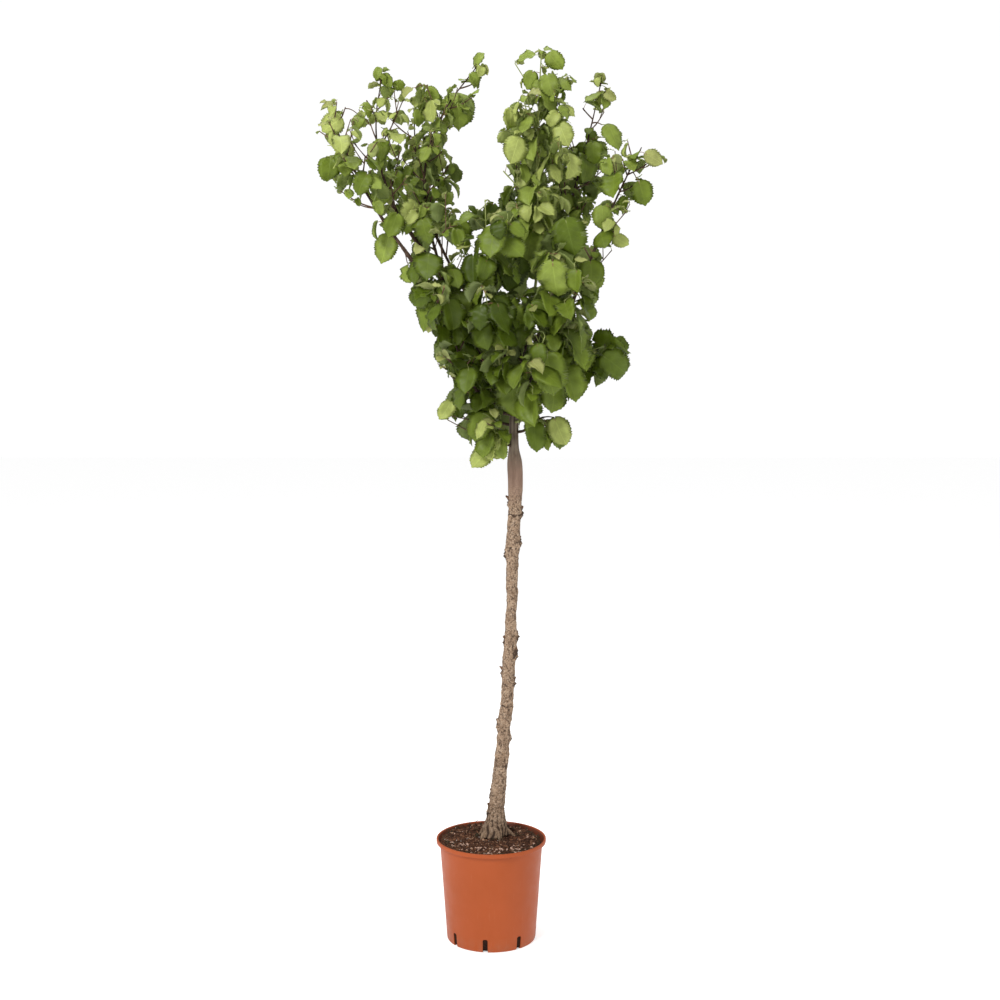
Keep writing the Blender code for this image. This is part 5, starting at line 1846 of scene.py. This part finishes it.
def make_leaves(masses):
    """Every leaf, joined into one piece for each tint."""
    builders = {tint: Builder() for tint in TINTS}
    stalks = Builder()
    for name, twigs in masses.items():
        rng = random.Random(MASSES[name].seed + TINT_SEED)
        for twig in twigs:
            tints = spray_tints(rng, name, twig)
            for (leaf, grid, points, uvs), share in twig.shapes:
                small = share > YOUNG_SHARE and leaf.length < YOUNG_LEAF_LENGTH
                young = small and rng.random() < YOUNG_LEAVES
                tint = "young" if young else tints[share > TIP_SPRAYS]
                builders[tint].add(points, grid.faces, grid.slots, uvs)
                add_stalk(stalks, twig.drawn([share])[0], leaf, int(rng.random() < RED_STALKS))
    for tint, builder in builders.items():
        piece = builder.link(f"leaves_{tint}", uv_name="blade")
        finish_piece(piece, leaf_materials(tint), list(MASSES))
    green = shoot_bark("stalk_green", (0.20, 0.25, 0.06), (0.36, 0.40, 0.14), 0.5)
    red = shoot_bark("stalk_red", (0.20, 0.10, 0.05), (0.36, 0.20, 0.11), 0.5)
    finish_piece(stalks.link("leaf_stalks"), [green, red])


def drawn_radii(twig, shares):
    """The radii at shares along a twig as drawn, swollen a little at each leaf."""
    ends = (STEM_DRAWN_RADII, TWIG_DRAWN_RADII, (SPUR_RADIUS, SPUR_TIP_RADIUS))[twig.rank]
    radii = np.interp(shares, (0, 1), ends)
    leaves = np.array([share for _, share in twig.shapes] or [2.0])[:, None]
    near = np.exp(-(((shares - leaves) * len(shares) / 1.3) ** 2)).max(axis=0)
    return radii * (1 + LEAF_NODE_SWELLING * near)


def make_boughs(bark):
    """The boughs, thicker at their feet and slightly at each node."""
    boughs = Builder()
    shares = np.linspace(0, 1, BOUGH_STEPS)
    foot_share, tip_share = BOUGH_DRAWN_SHARES
    nodes = np.exp(-(((shares * BOUGH_NODES) % 1 - 0.5) ** 2) / 0.012)
    foot_swelling = BOUGH_FOOT_SWELLING * np.exp(-((shares * 12) ** 2))
    swelling = 1 + foot_swelling + BOUGH_NODE_SWELLING * nodes
    for i, name in enumerate(BOUGHS):
        stations = bough_stations(name)
        foot, tip = stations[0][1] * foot_share, stations[-1][1] * tip_share
        path = spline([point for point, _ in stations], shares)
        radii = (foot + (tip - foot) * shares) * swelling
        add_tube(boughs, path, radii, BOUGH_SIDES, wobble=WOOD_WOBBLE, seed=BOUGH_SEED + i)
    finish_piece(boughs.link("boughs_bark"), [bark], list(BOUGHS))


def make_shoots(masses, barks):
    """Stems, twigs and spurs as far as they carry anything, dark, brown or green by age."""
    wood = Builder()
    for name, twigs in masses.items():
        for number, twig in enumerate(twigs):
            carried = [share for _, share in twig.shapes] + [t.share for t in twigs if t.parent is twig]
            if not any(carried):
                continue
            shares = np.linspace(0, min(1.0, max(carried) + 0.04), TWIG_STEPS[twig.rank])
            path = twig.drawn(shares)
            if twig.rank == 0:
                path[0] += (path[0] - path[1]) / np.linalg.norm(path[0] - path[1]) * STEM_OVERLAP
            slot = 2 if name in GREEN_SHOOTS else min(1, twig.rank)
            radii = drawn_radii(twig, shares)
            add_tube(wood, path, radii, TWIG_SIDES[twig.rank], slot, wobble=WOOD_WOBBLE, seed=number)
    finish_piece(wood.link("shoots_bark"), barks)


def make_wood(masses):
    dark = shoot_bark("old_shoot_bark", (0.022, 0.012, 0.007), (0.085, 0.052, 0.033))
    brown = shoot_bark("young_shoot_bark", (0.050, 0.026, 0.017), (0.150, 0.088, 0.052))
    green = shoot_bark("green_shoot_bark", (0.170, 0.205, 0.050), (0.320, 0.350, 0.120), 0.5)
    make_boughs(dark)
    make_shoots(masses, [dark, brown, green])


# ---------------------------------------------------------------- floor, light and camera


def make_floor():
    half = FLOOR_HALF
    corners = [(-half, -half, 0), (half, -half, 0), (half, half, 0), (-half, half, 0)]
    mesh = mesh_of("floor", corners, [(0, 1, 2, 3)])
    m = Nodes("floor_white", 0.9, Specular_IOR_Level=0.1, Emission_Strength=FLOOR_GLOW)
    m.colour((0.80, 0.80, 0.80, 1))
    m.put(m.shader.inputs["Emission Color"], (1, 1, 1, 1))
    mesh.materials.append(m.material)
    place_object("floor", mesh)


def make_world():
    """A white world, brighter as the camera sees it than as it lights the plant."""
    world = bpy.data.worlds.new("studio")
    bpy.context.scene.world = world
    world.use_nodes = True
    tree = world.node_tree
    mix = tree.nodes.new("ShaderNodeMixShader")
    backgrounds = (tree.nodes["Background"], tree.nodes.new("ShaderNodeBackground"))
    for socket, background, strength in zip((1, 2), backgrounds, (SKY_LIGHT, SKY_SEEN)):
        background.inputs["Strength"].default_value = strength
        background.inputs["Color"].default_value = (1, 1, 1, 1)
        tree.links.new(background.outputs[0], mix.inputs[socket])
    path = tree.nodes.new("ShaderNodeLightPath")
    tree.links.new(path.outputs["Is Camera Ray"], mix.inputs[0])
    tree.links.new(mix.outputs[0], tree.nodes["World Output"].inputs["Surface"])


def make_lights():
    for name, place, size, power in LIGHTS:
        data = bpy.data.lights.new(name, "AREA")
        data.size = size
        data.energy = power
        light = place_object(name, data)
        light.location = place
        light.rotation_euler = (LIGHTS_AIM - Vector(place)).to_track_quat("-Z", "Y").to_euler()


def make_camera():
    """The camera at the photograph's place, and plain colours with no film look."""
    data = bpy.data.cameras.new("camera")
    data.lens = CAMERA_LENS
    data.sensor_width = CAMERA_SENSOR
    data.clip_end = 60
    camera = place_object("camera", data)
    camera.location = CAMERA_PLACE
    camera.rotation_euler = (math.pi / 2 + CAMERA_PITCH, 0, 0)
    scene = bpy.context.scene
    scene.camera = camera
    scene.view_settings.view_transform = "Standard"
    scene.view_settings.look = "None"


# ---------------------------------------------------------------- the whole plant


def grow_crown():
    """The twigs of every mass with their drawn leaves, grown in the room that the limbs leave."""
    room = Room([frame["nodes"][name] for name in ("trunk", *BOUGHS)])
    masses = grow_masses(room)
    drawn = Drawn(room)
    for twigs in masses.values():
        for twig in twigs:
            drawn.keep_twig(twig.path, TWIG_DRAWN_RADII[0])
    grow_key_leaves(drawn, masses)
    draw_source_leaves(drawn, masses)
    grow_finer(room, drawn, masses)
    return masses


def main():
    make_camera()
    make_floor()
    make_world()
    make_lights()
    make_pot(pot_plastic())
    make_soil(soil_ground())
    reach = wall_radius(SOIL_EDGE) - POT_WALL - BITS_CLEARANCE
    make_chips(reach)
    make_fibres(reach)
    bark = trunk_bark()
    make_trunk(bark)
    make_roots(bark)
    make_stubs(dead_wood())
    masses = grow_crown()
    make_wood(masses)
    make_leaves(masses)
    for mesh in [mesh for mesh in bpy.data.meshes if not mesh.users]:
        bpy.data.meshes.remove(mesh)


main()
